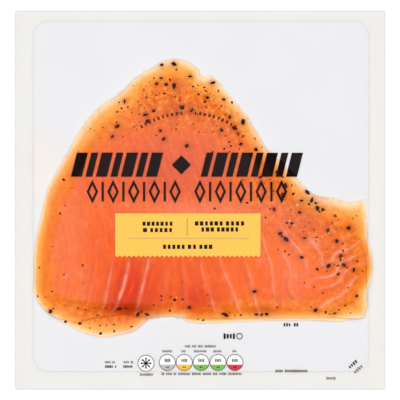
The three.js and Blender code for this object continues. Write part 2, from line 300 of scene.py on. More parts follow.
class Mesher:
    """Builds mesh objects from whole arrays of points in millimetres."""

    @staticmethod
    def build(name: str, points: Array, faces: Sequence[Array],
              values: dict[str, Array] | None = None, smooth: bool = True) -> Piece:
        """Put points and faces into a mesh object at the origin.

        Args:
            name: Name of the object.
            points: Points in millimetres, one row each.
            faces: Arrays of triangles or four-sided faces.
            values: Numbers for each point, by attribute name.
            smooth: Whether the faces are shaded smoothly.

        Returns:
            The object, in the scene.
        """
        mesh = bpy.data.meshes.new(name)
        mesh.vertices.add(len(points))
        mesh.vertices.foreach_set("co", (np.asarray(points, dtype=float) * MM).ravel())
        corners = np.concatenate([group.ravel() for group in faces])
        sizes = np.concatenate([np.full(len(group), group.shape[1]) for group in faces])
        mesh.loops.add(len(corners))
        mesh.loops.foreach_set("vertex_index", corners.astype(np.int32))
        mesh.polygons.add(len(sizes))
        mesh.polygons.foreach_set("loop_start", np.concatenate([[0], np.cumsum(sizes)[:-1]]).astype(np.int32))
        mesh.polygons.foreach_set("use_smooth", np.full(len(sizes), smooth))
        for label, numbers in (values or {}).items():
            layer = mesh.attributes.new(label, "FLOAT", "POINT")
            layer.data.foreach_set("value", np.asarray(numbers, dtype=np.float32).ravel())
        mesh.update(calc_edges=True)
        mesh.validate()
        piece = bpy.data.objects.new(name, mesh)
        bpy.context.scene.collection.objects.link(piece)
        return piece

    @staticmethod
    def grid_faces(rows: int, columns: int, first: int = 0, wrap: bool = False,
                   flip: bool = False) -> Array:
        """Four-sided faces of a grid of points kept row by row.

        Args:
            rows: Number of rows of points.
            columns: Number of points in a row.
            first: Index of the first point.
            wrap: Whether the last column joins the first.
            flip: Whether the faces look the other way.

        Returns:
            One row of four indices for each face.
        """
        row = np.arange(rows - 1)[:, None] * columns
        column = np.arange(columns if wrap else columns - 1)[None, :]
        after = (column + 1) % columns
        quads = np.stack([row + column, row + columns + column, row + columns + after, row + after], axis=-1)
        quads = quads.reshape(-1, 4) + first
        return quads[:, ::-1] if flip else quads

    @classmethod
    def slab(cls, lower: Array, upper: Array, wrap: bool = False) -> tuple[Array, list[Array]]:
        """Closed slab between two grids of one shape.

        Args:
            lower: Points of the underside, rows by columns by three.
            upper: Points of the face.
            wrap: Whether the columns close on themselves.

        Returns:
            The points and the faces.
        """
        rows, columns = upper.shape[:2]
        count = rows * columns
        points = np.concatenate([upper.reshape(-1, 3), lower.reshape(-1, 3)])
        faces = [cls.grid_faces(rows, columns, 0, wrap, True), cls.grid_faces(rows, columns, count, wrap)]
        row = np.arange(columns)
        if wrap:
            row = np.append(row, 0)
        rims = [row, (rows - 1) * columns + row[::-1]]
        if not wrap:
            column = np.arange(rows) * columns
            rims += [column[::-1], column + columns - 1]
        for rim in rims:
            faces.append(np.column_stack([rim[:-1], rim[:-1] + count, rim[1:] + count, rim[1:]]))
        return points, faces

    @staticmethod
    def join(parts: Sequence[tuple[Array, list[Array]]]) -> tuple[Array, list[Array]]:
        """Put several point and face sets into one.

        Args:
            parts: The sets.

        Returns:
            All points and all faces.
        """
        points, faces, first = [], [], 0
        for part_points, part_faces in parts:
            points.append(part_points)
            faces += [group + first for group in part_faces]
            first += len(part_points)
        return np.concatenate(points), faces


@dataclass(frozen=True)
class Oval:
    """Upright oval on the plan: centre and reach."""

    x: float
    y: float
    reach_x: float
    reach_y: float


class NodeBench:
    """Short calls for building a node tree."""

    def __init__(self, tree: Tree) -> None:
        """Work on one tree."""
        self.tree = tree

    def add(self, kind: str, **settings: object) -> Node:
        """Add a node and set its properties.

        Args:
            kind: Type of the node.
            settings: Its properties by name.

        Returns:
            The node.
        """
        node = self.tree.nodes.new(kind)
        for label, value in settings.items():
            setattr(node, label, value)
        return node

    def feed(self, socket: Socket, value: object) -> None:
        """Link a socket's source, or set its constant.

        Args:
            socket: The socket to feed.
            value: Another socket, or a constant.
        """
        if isinstance(value, Socket):
            self.tree.links.new(value, socket)
        else:
            socket.default_value = value

    def fill(self, node: Node, **values: object) -> None:
        """Feed sockets by name, where an underscore stands for a space.

        Args:
            node: The node.
            values: What each socket gets.
        """
        for label, value in values.items():
            self.feed(node.inputs[label.replace("_", " ")], value)

    def math(self, operation: str, *values: object) -> Socket:
        """Result of a Math node.

        Args:
            operation: What it works out.
            values: What it takes in.

        Returns:
            Its output.
        """
        node = self.add("ShaderNodeMath", operation=operation)
        for socket, value in zip(node.inputs, values):
            self.feed(socket, value)
        return node.outputs[0]

    def plus(self, first: object, second: object) -> Socket:
        """Sum of two values."""
        return self.math("ADD", first, second)

    def minus(self, first: object, second: object) -> Socket:
        """Difference of two values."""
        return self.math("SUBTRACT", first, second)

    def times(self, first: object, second: object) -> Socket:
        """Product of two values."""
        return self.math("MULTIPLY", first, second)

    def rise(self, value: object, low: float, high: float, start: float = 0.0, end: float = 1.0) -> Socket:
        """Smooth step of a value from low to high, as a number from start to end.

        Args:
            value: What steps.
            low: Where the step starts.
            high: Where it ends.
            start: Result before it.
            end: Result after it.

        Returns:
            The result.
        """
        node = self.add("ShaderNodeMapRange", interpolation_type="SMOOTHSTEP")
        for socket, number in zip(node.inputs, (value, low, high, start, end)):
            self.feed(socket, number)
        return node.outputs[0]

    def blend(self, share: object, first: object, second: object, mode: str = "MIX") -> Socket:
        """Blend of two colours.

        Args:
            share: How much the second counts.
            first: One colour.
            second: The other.
            mode: How they blend.

        Returns:
            The colour.
        """
        node = self.add("ShaderNodeMix", data_type="RGBA", blend_type=mode)
        self.feed(node.inputs[0], share)
        self.feed(node.inputs[6], first)
        self.feed(node.inputs[7], second)
        return node.outputs[2]

    def noise(self, vector: object, scale: float, detail: float = 3.0,
              roughness: float = 0.5) -> Socket:
        """Noise value between 0 and 1.

        Args:
            vector: Where it is read.
            scale: Waves for each unit.
            detail: How many finer layers it has.
            roughness: How much each of them counts.

        Returns:
            The value.
        """
        node = self.add("ShaderNodeTexNoise")
        self.fill(node, Vector=vector, Scale=scale, Detail=detail, Roughness=roughness)
        return node.outputs[0]

    def number(self, attribute: str) -> Socket:
        """Number kept on the mesh under a name."""
        return self.add("ShaderNodeAttribute", attribute_name=attribute).outputs["Fac"]

    def place(self) -> Socket:
        """Object coordinates in millimetres."""
        node = self.add("ShaderNodeVectorMath", operation="SCALE")
        self.feed(node.inputs[0], self.add("ShaderNodeTexCoord").outputs["Object"])
        self.fill(node, Scale=1.0 / MM)
        return node.outputs[0]

    def plan(self) -> tuple[Socket, Socket]:
        """Places across and up the pack in millimetres."""
        split = self.add("ShaderNodeSeparateXYZ")
        self.feed(split.inputs[0], self.place())
        return split.outputs[0], split.outputs[1]

    def grey(self, shade: object) -> Socket:
        """Colour with a shade in all three channels.

        Args:
            shade: The shade.

        Returns:
            The colour.
        """
        node = self.add("ShaderNodeCombineColor")
        for socket in node.inputs[:3]:
            self.feed(socket, shade)
        return node.outputs[0]

    def oval(self, oval: Oval) -> Socket:
        """Soft mask of an oval: the root of the summed squares of the shares of its reaches.

        Args:
            oval: The oval on the plan.

        Returns:
            The mask, which is 1 in its middle and 0 outside it.
        """
        x, y = self.plan()
        across = self.math("DIVIDE", self.minus(x, oval.x), oval.reach_x)
        along = self.math("DIVIDE", self.minus(y, oval.y), oval.reach_y)
        squares = self.plus(self.times(across, across), self.times(along, along))
        return self.rise(self.math("SQRT", squares), 0.1, 1.2, 1.0, 0.0)

    def margin(self, half: Place, width: float) -> Socket:
        """Soft mask of the outermost strip of a rectangle.

        Args:
            half: Half sizes of the rectangle.
            width: Width of the strip.

        Returns:
            The mask.
        """
        past = [self.minus(self.math("ABSOLUTE", place), reach - width)
                for place, reach in zip(self.plan(), half)]
        return self.rise(self.math("MAXIMUM", *past), 0.0, width)

    def bump(self, height: object, depth: float) -> Socket:
        """Normal of a height field.

        Args:
            height: Height between 0 and 1.
            depth: Depth of a full step in millimetres.

        Returns:
            The normal.
        """
        node = self.add("ShaderNodeBump")
        self.fill(node, Distance=depth * MM, Height=height)
        return node.outputs[0]


class GroupBuilder:
    """Makes the shader node groups that several finishes share, each once."""

    @staticmethod
    def start(name: str, inputs: dict[str, str],
              outputs: dict[str, str]) -> tuple[Tree, NodeBench, Node, Node]:
        """Open a group with named sockets.

        Args:
            name: Name of the group.
            inputs: Socket kind by input name.
            outputs: Socket kind by output name.

        Returns:
            The group, its bench, its input node and its output node.
        """
        tree = bpy.data.node_groups.new(name, "ShaderNodeTree")
        for label, kind in inputs.items():
            tree.interface.new_socket(label, in_out="INPUT", socket_type=kind)
        for label, kind in outputs.items():
            tree.interface.new_socket(label, in_out="OUTPUT", socket_type=kind)
        bench = NodeBench(tree)
        return tree, bench, bench.add("NodeGroupInput"), bench.add("NodeGroupOutput")

    @classmethod
    def ripple(cls) -> Tree:
        """Normal of thin drawn film: long faint swells and a fine orange peel.

        Returns:
            The group.
        """
        tree, bench, given, result = cls.start(
            "FilmRipple", {"Depth": "NodeSocketFloat"}, {"Normal": "NodeSocketVector"})
        place = bench.place()
        swell = bench.noise(place, 0.05, 2.0)
        peel = bench.noise(place, 0.9, 2.0)
        height = bench.plus(bench.times(swell, 3.0), bench.times(peel, 0.12))
        node = bench.add("ShaderNodeBump")
        bench.fill(node, Distance=0.2 * MM, Strength=given.outputs["Depth"], Height=height)
        bench.fill(result, Normal=node.outputs[0])
        return tree

    @classmethod
    def paper(cls) -> Tree:
        """Faint clouds and fibres of coated card and film stock, as a shade near 1.

        Returns:
            The group.
        """
        tree, bench, _, result = cls.start(
            "StockShade", {}, {"Shade": "NodeSocketColor", "Height": "NodeSocketFloat"})
        place = bench.place()
        clouds = bench.noise(place, 0.03, 3.0)
        fibres = bench.noise(place, 1.4, 4.0, 0.65)
        shade = bench.plus(bench.rise(clouds, 0.3, 0.7, 0.985, 1.0),
                           bench.rise(fibres, 0.2, 0.8, -0.008, 0.008))
        bench.fill(result, Shade=bench.grey(shade), Height=fibres)
        return tree


@dataclass(frozen=True)
class FleshFinish:
    """Cut salmon: colours from its edge inwards, then those of its patches, seams and stains, and a painted
    glow that makes its thin rim emit light.
    """

    COLOURS: ClassVar[tuple[str, ...]] = (
        "Edge", "Rim", "Shoulder", "Flesh", "Deep", "Blush", "Rub", "Stain", "Fat")
    NUMBERS: ClassVar[tuple[str, ...]] = (
        "Inset", "Core", "Order", "Pace", "Seam", "Tone", "Blush", "Rub", "Stain", "Pale")

    name: str
    edge: Colour = (255, 226, 186)
    rim: Colour = (255, 180, 86)
    shoulder: Colour = (255, 128, 20)
    flesh: Colour = (250, 104, 33)
    deep: Colour = (224, 49, 0)
    blush: Colour = (230, 96, 60)
    rub: Colour = (234, 112, 14)
    stain: Colour = (160, 46, 0)
    fat: Colour = (255, 174, 146)
    # Strength of the rim's emission: painted glow that stands in for light through the thin flesh and onto
    # the card
    glow: ClassVar[float] = 0.14
    index: ClassVar[float] = 1.33
    shine: ClassVar[float] = 0.1

    def make(self, group: Tree) -> Material:
        """Build the material.

        Args:
            group: The shared group for cut salmon.

        Returns:
            The material.
        """
        material, bench, shader = new_material(self.name)
        node = bench.add("ShaderNodeGroup", node_tree=group)
        bench.fill(node, Place=bench.place())
        for label in self.NUMBERS:
            bench.feed(node.inputs[label], bench.number(label.lower()))
        for label in self.COLOURS:
            node.inputs[f"{label} color"].default_value = srgb(*getattr(self, label.lower()))
        given = node.outputs
        # The rim emits its own colour: painted glow
        bench.fill(shader, Base_Color=given["Color"], Emission_Color=given["Glow"],
                   Emission_Strength=self.glow, Roughness=given["Roughness"], Normal=given["Normal"],
                   IOR=self.index, Specular_IOR_Level=self.shine)
        return material


class FleshGroup:
    """Shader node group of cut salmon: pale rim, orange shoulder, deep middle, fibres, seams of fat, and a
    painted glow of the rim.
    """

    NAME: ClassVar[str] = "CutSalmon"
    BLACK: ClassVar[tuple[float, ...]] = (0.0, 0.0, 0.0, 1.0)

    def __init__(self) -> None:
        """Open the group, and draw the noises and the uneven borders that its steps share."""
        colours = {f"{label} color": "NodeSocketColor" for label in FleshFinish.COLOURS}
        numbers = {label: "NodeSocketFloat" for label in FleshFinish.NUMBERS}
        self.tree, self.bench, given, self.result = GroupBuilder.start(
            self.NAME, {"Place": "NodeSocketVector", **numbers, **colours},
            {"Color": "NodeSocketColor", "Glow": "NodeSocketColor", "Normal": "NodeSocketVector",
             "Roughness": "NodeSocketFloat"})
        self.have = given.outputs
        self.place = self.have["Place"]
        bench, near = self.bench, self.have["Inset"]
        self.mottle = bench.noise(self.place, 0.42, 4.0, 0.6)
        rough = bench.times(bench.minus(self.mottle, 0.5), bench.rise(near, 0.0, 4.0, 0.6, 3.4))
        self.depth = bench.plus(near, rough)
        wander = bench.times(bench.minus(bench.noise(self.place, 0.06, 3.0, 0.55), 0.5), 14.0)
        self.core = bench.plus(self.have["Core"], bench.plus(wander, rough))

    def over(self, share: object, colour: object, label: str) -> Socket:
        """Lay one of the group's own colours over a colour by a share."""
        return self.bench.blend(share, colour, self.have[f"{label} color"])

    def ground(self) -> tuple[Socket, Socket]:
        """Colours from the edge inwards.

        Returns:
            The colour, and the painted glow of the thin rim: emission that stands in for light passing
            through it.
        """
        bench, near = self.bench, self.have["Inset"]
        colour = self.over(bench.rise(near, 0.1, 2.5), self.have["Edge color"], "Rim")
        # The rim's colour as emission, fading out over 6 mm inwards: painted glow
        glow = bench.blend(bench.rise(near, 0.0, 6.0), colour, self.BLACK)
        colour = self.over(bench.rise(self.depth, 1.4, 6.6), colour, "Shoulder")
        colour = self.over(bench.rise(self.core, 0.0, 8.5), colour, "Flesh")
        bloom = bench.rise(bench.noise(self.place, 0.13, 3.0, 0.6), 0.52, 0.74, 0.0, 0.2)
        return self.over(bloom, colour, "Fat"), glow

    def rubbed(self, colour: object) -> Socket:
        """Smoked outer flesh with pale and dark clots, then deep, pink and pale patches.

        Args:
            colour: The ground.

        Returns:
            The colour.
        """
        bench, rub = self.bench, self.have["Rub"]
        share = bench.times(rub, bench.rise(self.core, -6.0, 4.0, 0.2, 1.0))
        colour = self.over(bench.times(share, 0.75), colour, "Rub")
        clots = bench.noise(self.place, 0.34, 4.0, 0.62)
        colour = self.over(bench.times(rub, bench.rise(clots, 0.5, 0.66, 0.0, 0.6)), colour, "Rim")
        colour = self.over(bench.times(rub, bench.rise(clots, 0.34, 0.48, 0.4, 0.0)), colour, "Stain")
        for number, label in (("Tone", "Deep"), ("Blush", "Blush"), ("Pale", "Fat")):
            colour = self.over(self.have[number], colour, label)
        return colour

    def grained(self, colour: object) -> Socket:
        """Fibres that run with the seams, mottle, grain and a shade that changes block by block.

        Args:
            colour: Colour so far.

        Returns:
            The colour.
        """
        bench, order = self.bench, self.have["Order"]
        split = bench.add("ShaderNodeSeparateXYZ")
        bench.feed(split.inputs[0], self.place)
        stretched = bench.add("ShaderNodeCombineXYZ")
        bench.feed(stretched.inputs[0], bench.times(order, 2.4))
        bench.feed(stretched.inputs[1], bench.times(split.outputs[1], 0.035))
        fibres = bench.noise(stretched.outputs[0], 1.6, 4.0, 0.62)
        colour = self.over(bench.rise(fibres, 0.5, 0.8, 0.0, 0.42), colour, "Shoulder")
        grain = bench.noise(self.place, 1.9, 3.0, 0.6)
        phase = bench.minus(bench.math("FRACT", order), 0.5)
        shade = bench.plus(bench.rise(self.mottle, 0.25, 0.75, 0.92, 1.05),
                           bench.rise(fibres, 0.3, 0.7, -0.06, 0.06))
        shade = bench.plus(shade, bench.rise(grain, 0.2, 0.8, -0.04, 0.04))
        shade = bench.plus(shade, bench.times(phase, bench.times(self.have["Seam"], -0.22)))
        return bench.blend(1.0, colour, bench.grey(shade), "MULTIPLY")

    def seam(self) -> Socket:
        """Share of fat: a fine line in a soft halo where the count of seams is whole, broken up.

        Returns:
            The share.
        """
        bench = self.bench
        wobble = bench.times(bench.minus(self.mottle, 0.5), 0.10)
        turned = bench.math("FRACT", bench.plus(bench.plus(self.have["Order"], wobble), 0.5))
        offset = bench.times(bench.math("ABSOLUTE", bench.minus(turned, 0.5)), self.have["Pace"])
        line = bench.rise(offset, 0.05, 0.5, 1.0, 0.0)
        halo = bench.rise(offset, 0.2, 2.2, 0.36, 0.0)
        broken = bench.rise(bench.noise(self.place, 0.16, 2.0), 0.28, 0.62, 0.3, 1.0)
        share = bench.times(bench.math("MAXIMUM", line, halo), self.have["Seam"])
        return bench.math("MINIMUM", bench.times(share, bench.times(broken, 1.25)), 1.0)

    def normal(self, seam: object) -> Socket:
        """Relief of seams and mottle. The thin rim lets light through, so its normal leans towards
        straight up and its slope doesn't darken.

        Args:
            seam: Share of fat.

        Returns:
            The normal.
        """
        bench = self.bench
        lift = bench.add("ShaderNodeMix", data_type="VECTOR")
        bench.feed(lift.inputs[0], bench.rise(self.have["Inset"], 3.0, 14.0, 0.9, 0.0))
        relief = bench.plus(bench.times(seam, 0.5), bench.times(self.mottle, 0.5))
        bench.feed(lift.inputs[4], bench.bump(relief, 0.12))
        lift.inputs[5].default_value = (0.0, 0.0, 1.0)
        upright = bench.add("ShaderNodeVectorMath", operation="NORMALIZE")
        bench.feed(upright.inputs[0], lift.outputs[1])
        return upright.outputs[0]

    def build(self) -> Tree:
        """Lay the steps over one another.

        Returns:
            The group.
        """
        bench = self.bench
        colour, glow = self.ground()
        seam = self.seam()
        colour = self.over(seam, self.grained(self.rubbed(colour)), "Fat")
        grit = bench.rise(bench.noise(self.place, 0.75, 2.0), 0.6, 0.7, 0.0, 0.55)
        stained = bench.math("MAXIMUM", self.have["Stain"], bench.times(self.have["Rub"], grit))
        bench.fill(self.result, Color=self.over(stained, colour, "Stain"), Glow=glow,
                   Normal=self.normal(seam), Roughness=bench.rise(self.mottle, 0.3, 0.7, 0.3, 0.42))
        return self.tree


@dataclass(frozen=True)
class PepperFinish:
    """Cracked pepper: a dark and a light colour that each corn lies between."""

    name: str
    dark: Colour
    light: Colour
    roughness: ClassVar[float] = 0.55
    shine: ClassVar[float] = 0.15

    def make(self) -> Material:
        """Build the material."""
        material, bench, shader = new_material(self.name)
        speckle = bench.noise(bench.place(), 2.6, 4.0, 0.7)
        share = bench.times(bench.number("shade"), bench.rise(speckle, 0.35, 0.7, 0.3, 1.5))
        bench.fill(shader, Base_Color=bench.blend(share, srgb(*self.dark), srgb(*self.light)),
                   Normal=bench.bump(speckle, 0.25), Roughness=self.roughness,
                   Specular_IOR_Level=self.shine)
        return material


@dataclass(frozen=True)
class StockFinish:
    """Opaque sheet stock, as card or backing film, whose outermost strip is darkened as painted shade along
    its edge.
    """

    name: str
    colour: Colour
    roughness: float
    grain: float
    warm: Colour
    warm_place: Oval
    half: Place
    # Darker colour of the outermost strip: painted shade along the edge of the sheet
    edge_shade: ClassVar[Colour] = (216, 216, 211)
    edge_shade_width: ClassVar[float] = 0.9

    def make(self, group: Tree) -> Material:
        """Build the material.

        Args:
            group: The shared group for sheet stock.

        Returns:
            The material.
        """
        material, bench, shader = new_material(self.name)
        node = bench.add("ShaderNodeGroup", node_tree=group)
        tinted = bench.blend(bench.oval(self.warm_place), srgb(*self.colour), srgb(*self.warm))
        # Darken the outermost strip: painted shade along the edge
        tinted = bench.blend(bench.margin(self.half, self.edge_shade_width), tinted, srgb(*self.edge_shade))
        bench.fill(shader, Base_Color=bench.blend(1.0, tinted, node.outputs["Shade"], "MULTIPLY"),
                   Normal=bench.bump(node.outputs["Height"], self.grain), Roughness=self.roughness)
        return material


@dataclass(frozen=True)
class InkFinish:
    """Flat ink printed on the film, with faint mottle and the film's own gloss."""

    name: str
    colour: Colour
    roughness: ClassVar[float] = 0.4
    shine: ClassVar[float] = 0.06
    ripple_depth: ClassVar[float] = 0.5

    def make(self, ripple: Tree) -> Material:
        """Build the material.

        Args:
            ripple: The shared group for drawn film.

        Returns:
            The material.
        """
        material, bench, shader = new_material(self.name)
        mottle = bench.noise(bench.place(), 1.1, 3.0, 0.6)
        light = tuple(min(255, round(channel * 1.03 + 2)) for channel in self.colour)
        node = bench.add("ShaderNodeGroup", node_tree=ripple)
        bench.fill(node, Depth=self.ripple_depth)
        bench.fill(shader, Normal=node.outputs["Normal"], Roughness=self.roughness,
                   Base_Color=bench.blend(bench.rise(mottle, 0.3, 0.7), srgb(*self.colour), srgb(*light)),
                   Specular_IOR_Level=self.shine)
        return material


@dataclass(frozen=True)
class ClearFilmFinish:
    """Thin clear film: see-through, with a glossy skin that grows at grazing angles."""

    name: str = "ClearFilm"
    gloss: float = 0.1
    index: float = 1.12

    def make(self, ripple: Tree) -> Material:
        """Build the material.

        Args:
            ripple: The shared group for drawn film.

        Returns:
            The material.
        """
        material, bench, shader = new_material(self.name)
        node = bench.add("ShaderNodeGroup", node_tree=ripple)
        bench.fill(node, Depth=1.0)
        haze = bench.noise(bench.place(), 0.08, 2.0)
        bench.fill(shader, Base_Color=srgb(255, 255, 255), Metallic=1.0, Normal=node.outputs["Normal"],
                   Roughness=bench.rise(haze, 0.3, 0.7, self.gloss, self.gloss * 2.0))
        clear = bench.add("ShaderNodeBsdfTransparent")
        bench.fill(clear, Color=srgb(255, 255, 255))
        fresnel = bench.add("ShaderNodeFresnel")
        outer = bench.minus(1.0, bench.add("ShaderNodeNewGeometry").outputs["Backfacing"])
        bench.fill(fresnel, IOR=self.index, Normal=node.outputs["Normal"])
        mix = bench.add("ShaderNodeMixShader")
        bench.feed(mix.inputs[0], bench.times(fresnel.outputs[0], outer))
        bench.feed(mix.inputs[1], clear.outputs[0])
        bench.feed(mix.inputs[2], shader.outputs[0])
        bench.feed(find_node(material, "ShaderNodeOutputMaterial").inputs[0], mix.outputs[0])
        return material


def find_node(owner: Material | bpy.types.World, kind: str) -> Node:
    """The node of one kind in the tree of a material or a world."""
    return next(node for node in owner.node_tree.nodes if node.bl_idname == kind)


def new_material(name: str) -> tuple[Material, NodeBench, Node]:
    """Start a material.

    Args:
        name: Its name.

    Returns:
        The material, a bench on its tree and its Principled shader.
    """
    material = bpy.data.materials.new(name)
    material.use_nodes = True
    return material, NodeBench(material.node_tree), find_node(material, "ShaderNodeBsdfPrincipled")


TOP_OUTLINE: tuple[Place, ...] = (
    (94.5, -30), (94.6, -12), (94.2, -3), (93.8, 0.9), (90.6, -1.7), (82, -0.7), (75, 1.2), (66, 2.8),
    (59, 8), (53, 14), (45, 22), (38, 29), (32.4, 38.4), (26.8, 47.4), (21.2, 54.4), (15.4, 61.2),
    (10.5, 67), (5.5, 70.2), (1.2, 69.8), (-1.5, 75), (-6, 78), (-13, 80), (-20.5, 79), (-28, 74.5),
    (-35.5, 70.5), (-42, 64), (-50.5, 57), (-59.5, 51), (-66, 43), (-74.5, 28.6), (-81, 16.6), (-87, 5),
    (-90, -8.5), (-93.4, -24), (-94.4, -39), (-94, -53), (-89, -61.5), (-81, -67), (-71, -69), (-60, -67),
    (-50, -65.5), (-40, -65), (-30, -67.2), (-21.5, -66.4), (-13.5, -66.2), (-4, -67.2), (14, -67.4),
    (34, -67.2), (56, -66.9), (77, -66.8), (88, -67.4), (92.9, -66.7), (94.7, -63.4), (94.4, -54))
THIRD_OUTLINE: tuple[Place, ...] = (
    (92, -17), (96.4, -29), (97.8, -38), (96, -47), (91, -57), (84, -61), (50, -61), (10, -60), (-30, -59),
    (-60, -59), (-82, -54), (-87, -36), (-79, -4), (-62, 34), (-38, 60), (-15, 71), (2, 60), (24, 35),
    (47, 4), (62, -4), (78, -10))
SECOND_OUTLINE: tuple[Place, ...] = (
    (86, -23), (91, -52), (90, -64), (84, -68), (58, -68), (30, -68.6), (4, -69.8), (-7, -68.8), (-16, -61),
    (-60, -58), (-82, -52), (-85, -34), (-74, 4), (-56, 38), (-34, 60), (-14, 70), (4, 56), (25, 31),
    (47, 2), (62, -6), (77, -12))
BOTTOM_OUTLINE: tuple[Place, ...] = (
    (85, -28), (84, -54), (76, -61), (40, -61), (0, -60), (-22, -61.5), (-31, -69), (-38, -74.6),
    (-46, -76.4), (-55, -77.6), (-64, -76), (-72, -72.4), (-82, -66), (-87, -56), (-87, -36), (-76, 0),
    (-58, 34), (-34, 59), (-14, 68), (4, 54), (25, 29), (47, 0), (62, -8), (76, -14))

FAT_LINES: tuple[FatLine, ...] = tuple(FatLine(*row) for row in (
    (0, 0.15, ((-59, -35.3), (-64.7, -61.4))),
    (1, 0.5, ((-49.4, -32.5), (-54.5, -60))),
    (2, 1.0, ((-40.5, -35.3), (-42.4, -44.9), (-45.7, -55.7), (-49.4, -65.1))),
    (3, 0.7, ((-29.2, -33), (-33.5, -52.9), (-36.9, -66.5))),
    (4, 0.12, ((-19.6, -33), (-21.4, -64))),
    (5, 0.12, ((-10, -33), (-6, -64))),
    (6, 0.35, ((-0.3, -33.6), (5.9, -54.6), (9.6, -65.1))),
    (7, 0.5, ((11, -32.2), (19, -52.9), (22.3, -62.8))),
    (8, 0.5, ((24.7, -31.8), (30.8, -54.8), (33.6, -64.2))),
    (9, 0.45, ((34.4, -18.9), (40, -35.9), (42.4, -54.6))),
    (10, 0.45, ((46.1, -28.8), (50.9, -40.4), (54.1, -54.6))),
    (11, 0.55, ((44.7, -13.2), (49, -19.8), (53.7, -25.5), (59.3, -33.9), (61.1, -40.4))),
    (12, 0.6, ((64, -24.5), (69.1, -32.5))),
    (12, 0.75, ((68.5, -36.6), (74.8, -33.9), (77, -29.6), (83.5, -27.9), (90, -23.5))),
    (11, 0.8, ((61.2, -49.5), (68.2, -43.8), (76.7, -41), (79, -35.9), (83, -33.8), (92.2, -28.9))),
    (10, 0.6, ((67.7, -49.9), (77.6, -46.6), (81.4, -41), (94.4, -35.5))),
    (9, 0.8, ((67.3, -61.2), (72.9, -57.4), (81.4, -52.3), (89.4, -43.2))),
    (13, 0.55, ((81.3, -22.4), (85.6, -19.7)))))


@dataclass(frozen=True)
class TonePatch:
    """Soft patch where the flesh is deeper or, below 0, paler: centre, reach and amount."""

    x: float
    y: float
    reach_x: float
    reach_y: float
    amount: float


def tone_patches(*rows: tuple[float, ...]) -> tuple[TonePatch, ...]:
    """Patches from rows of centre, reach and amount."""
    return tuple(TonePatch(*row) for row in rows)


TONE_PATCHES = tone_patches(
    (-38, -49, 10.5, 14, 0.95), (-46, -59, 7, 5, 0.4), (-57, -26, 8, 24, 0.16), (-24, -58, 5, 5, 0.3),
    (-3, -56, 10, 6, 0.8), (-4, -38, 16, 10, 0.3), (45, -55, 8, 8, 0.2), (84, -35, 8, 9, 0.15),
    (68, -12, 8, 5, 0.12))
BLUSH_PATCHES = tone_patches(
    (-12, 22, 30, 12, 0.9), (-30, 12, 26, 10, 0.4), (4, 2, 14, 6, 0.3), (54, -12, 14, 9, 0.45))
PALE_PATCHES = tone_patches(
    (-75, -22, 8, 30, 0.14), (2, -7, 26, 5, 0.26), (46, -20, 12, 16, 0.04), (52, -42, 8, 12, 0.14),
    (64, -23.5, 2.5, 1.8, 0.4), (-14, 36, 34, 12, 0.06))
RUB_PATCHES = tone_patches(
    (-16, 55, 26, 11, 0.95), (-17, 64, 9, 7, 0.3), (91, -18, 5, 9, 0.3), (18, 46, 14, 14, 0.7),
    (44, 8, 20, 16, 0.7), (66, -14, 14, 12, 0.65), (82, -36, 9, 20, 0.5), (-51, 41, 10, 9, 0.3),
    (20, -60, 70, 4, 0.6), (-58, -66, 26, 6, 0.7), (-86, -20, 5, 30, 0.25))
STAIN_PATCHES = tone_patches(
    (-43, -60.5, 7, 2.4, 0.6), (-33, -62.5, 7, 2, 0.5), (-12, 51, 5, 2.5, 0.45), (35, -63, 6, 2, 0.45),
    (63, 0.5, 6, 4, 0.4))

# Where the pale rim reaches further in, or less far below 0
RIM_PATCHES = tone_patches(
    (-58, 48, 30, 18, 1.25), (-10, 76, 18, 12, 0.9), (34, 36, 16, 16, 0.7), (12, 62, 12, 10, 0.7),
    (76, 0, 18, 12, 1.8), (98, -24, 8, 22, -0.6), (90, -64, 12, 8, 0.9), (40, -70, 56, 4, 0.2),
    (-55, -74, 22, 8, 0.6))


class Level(Enum):
    """Place of a slice in the stack, counted from the card."""

    BOTTOM = 0
    SECOND = 1
    THIRD = 2
    TOP = 3


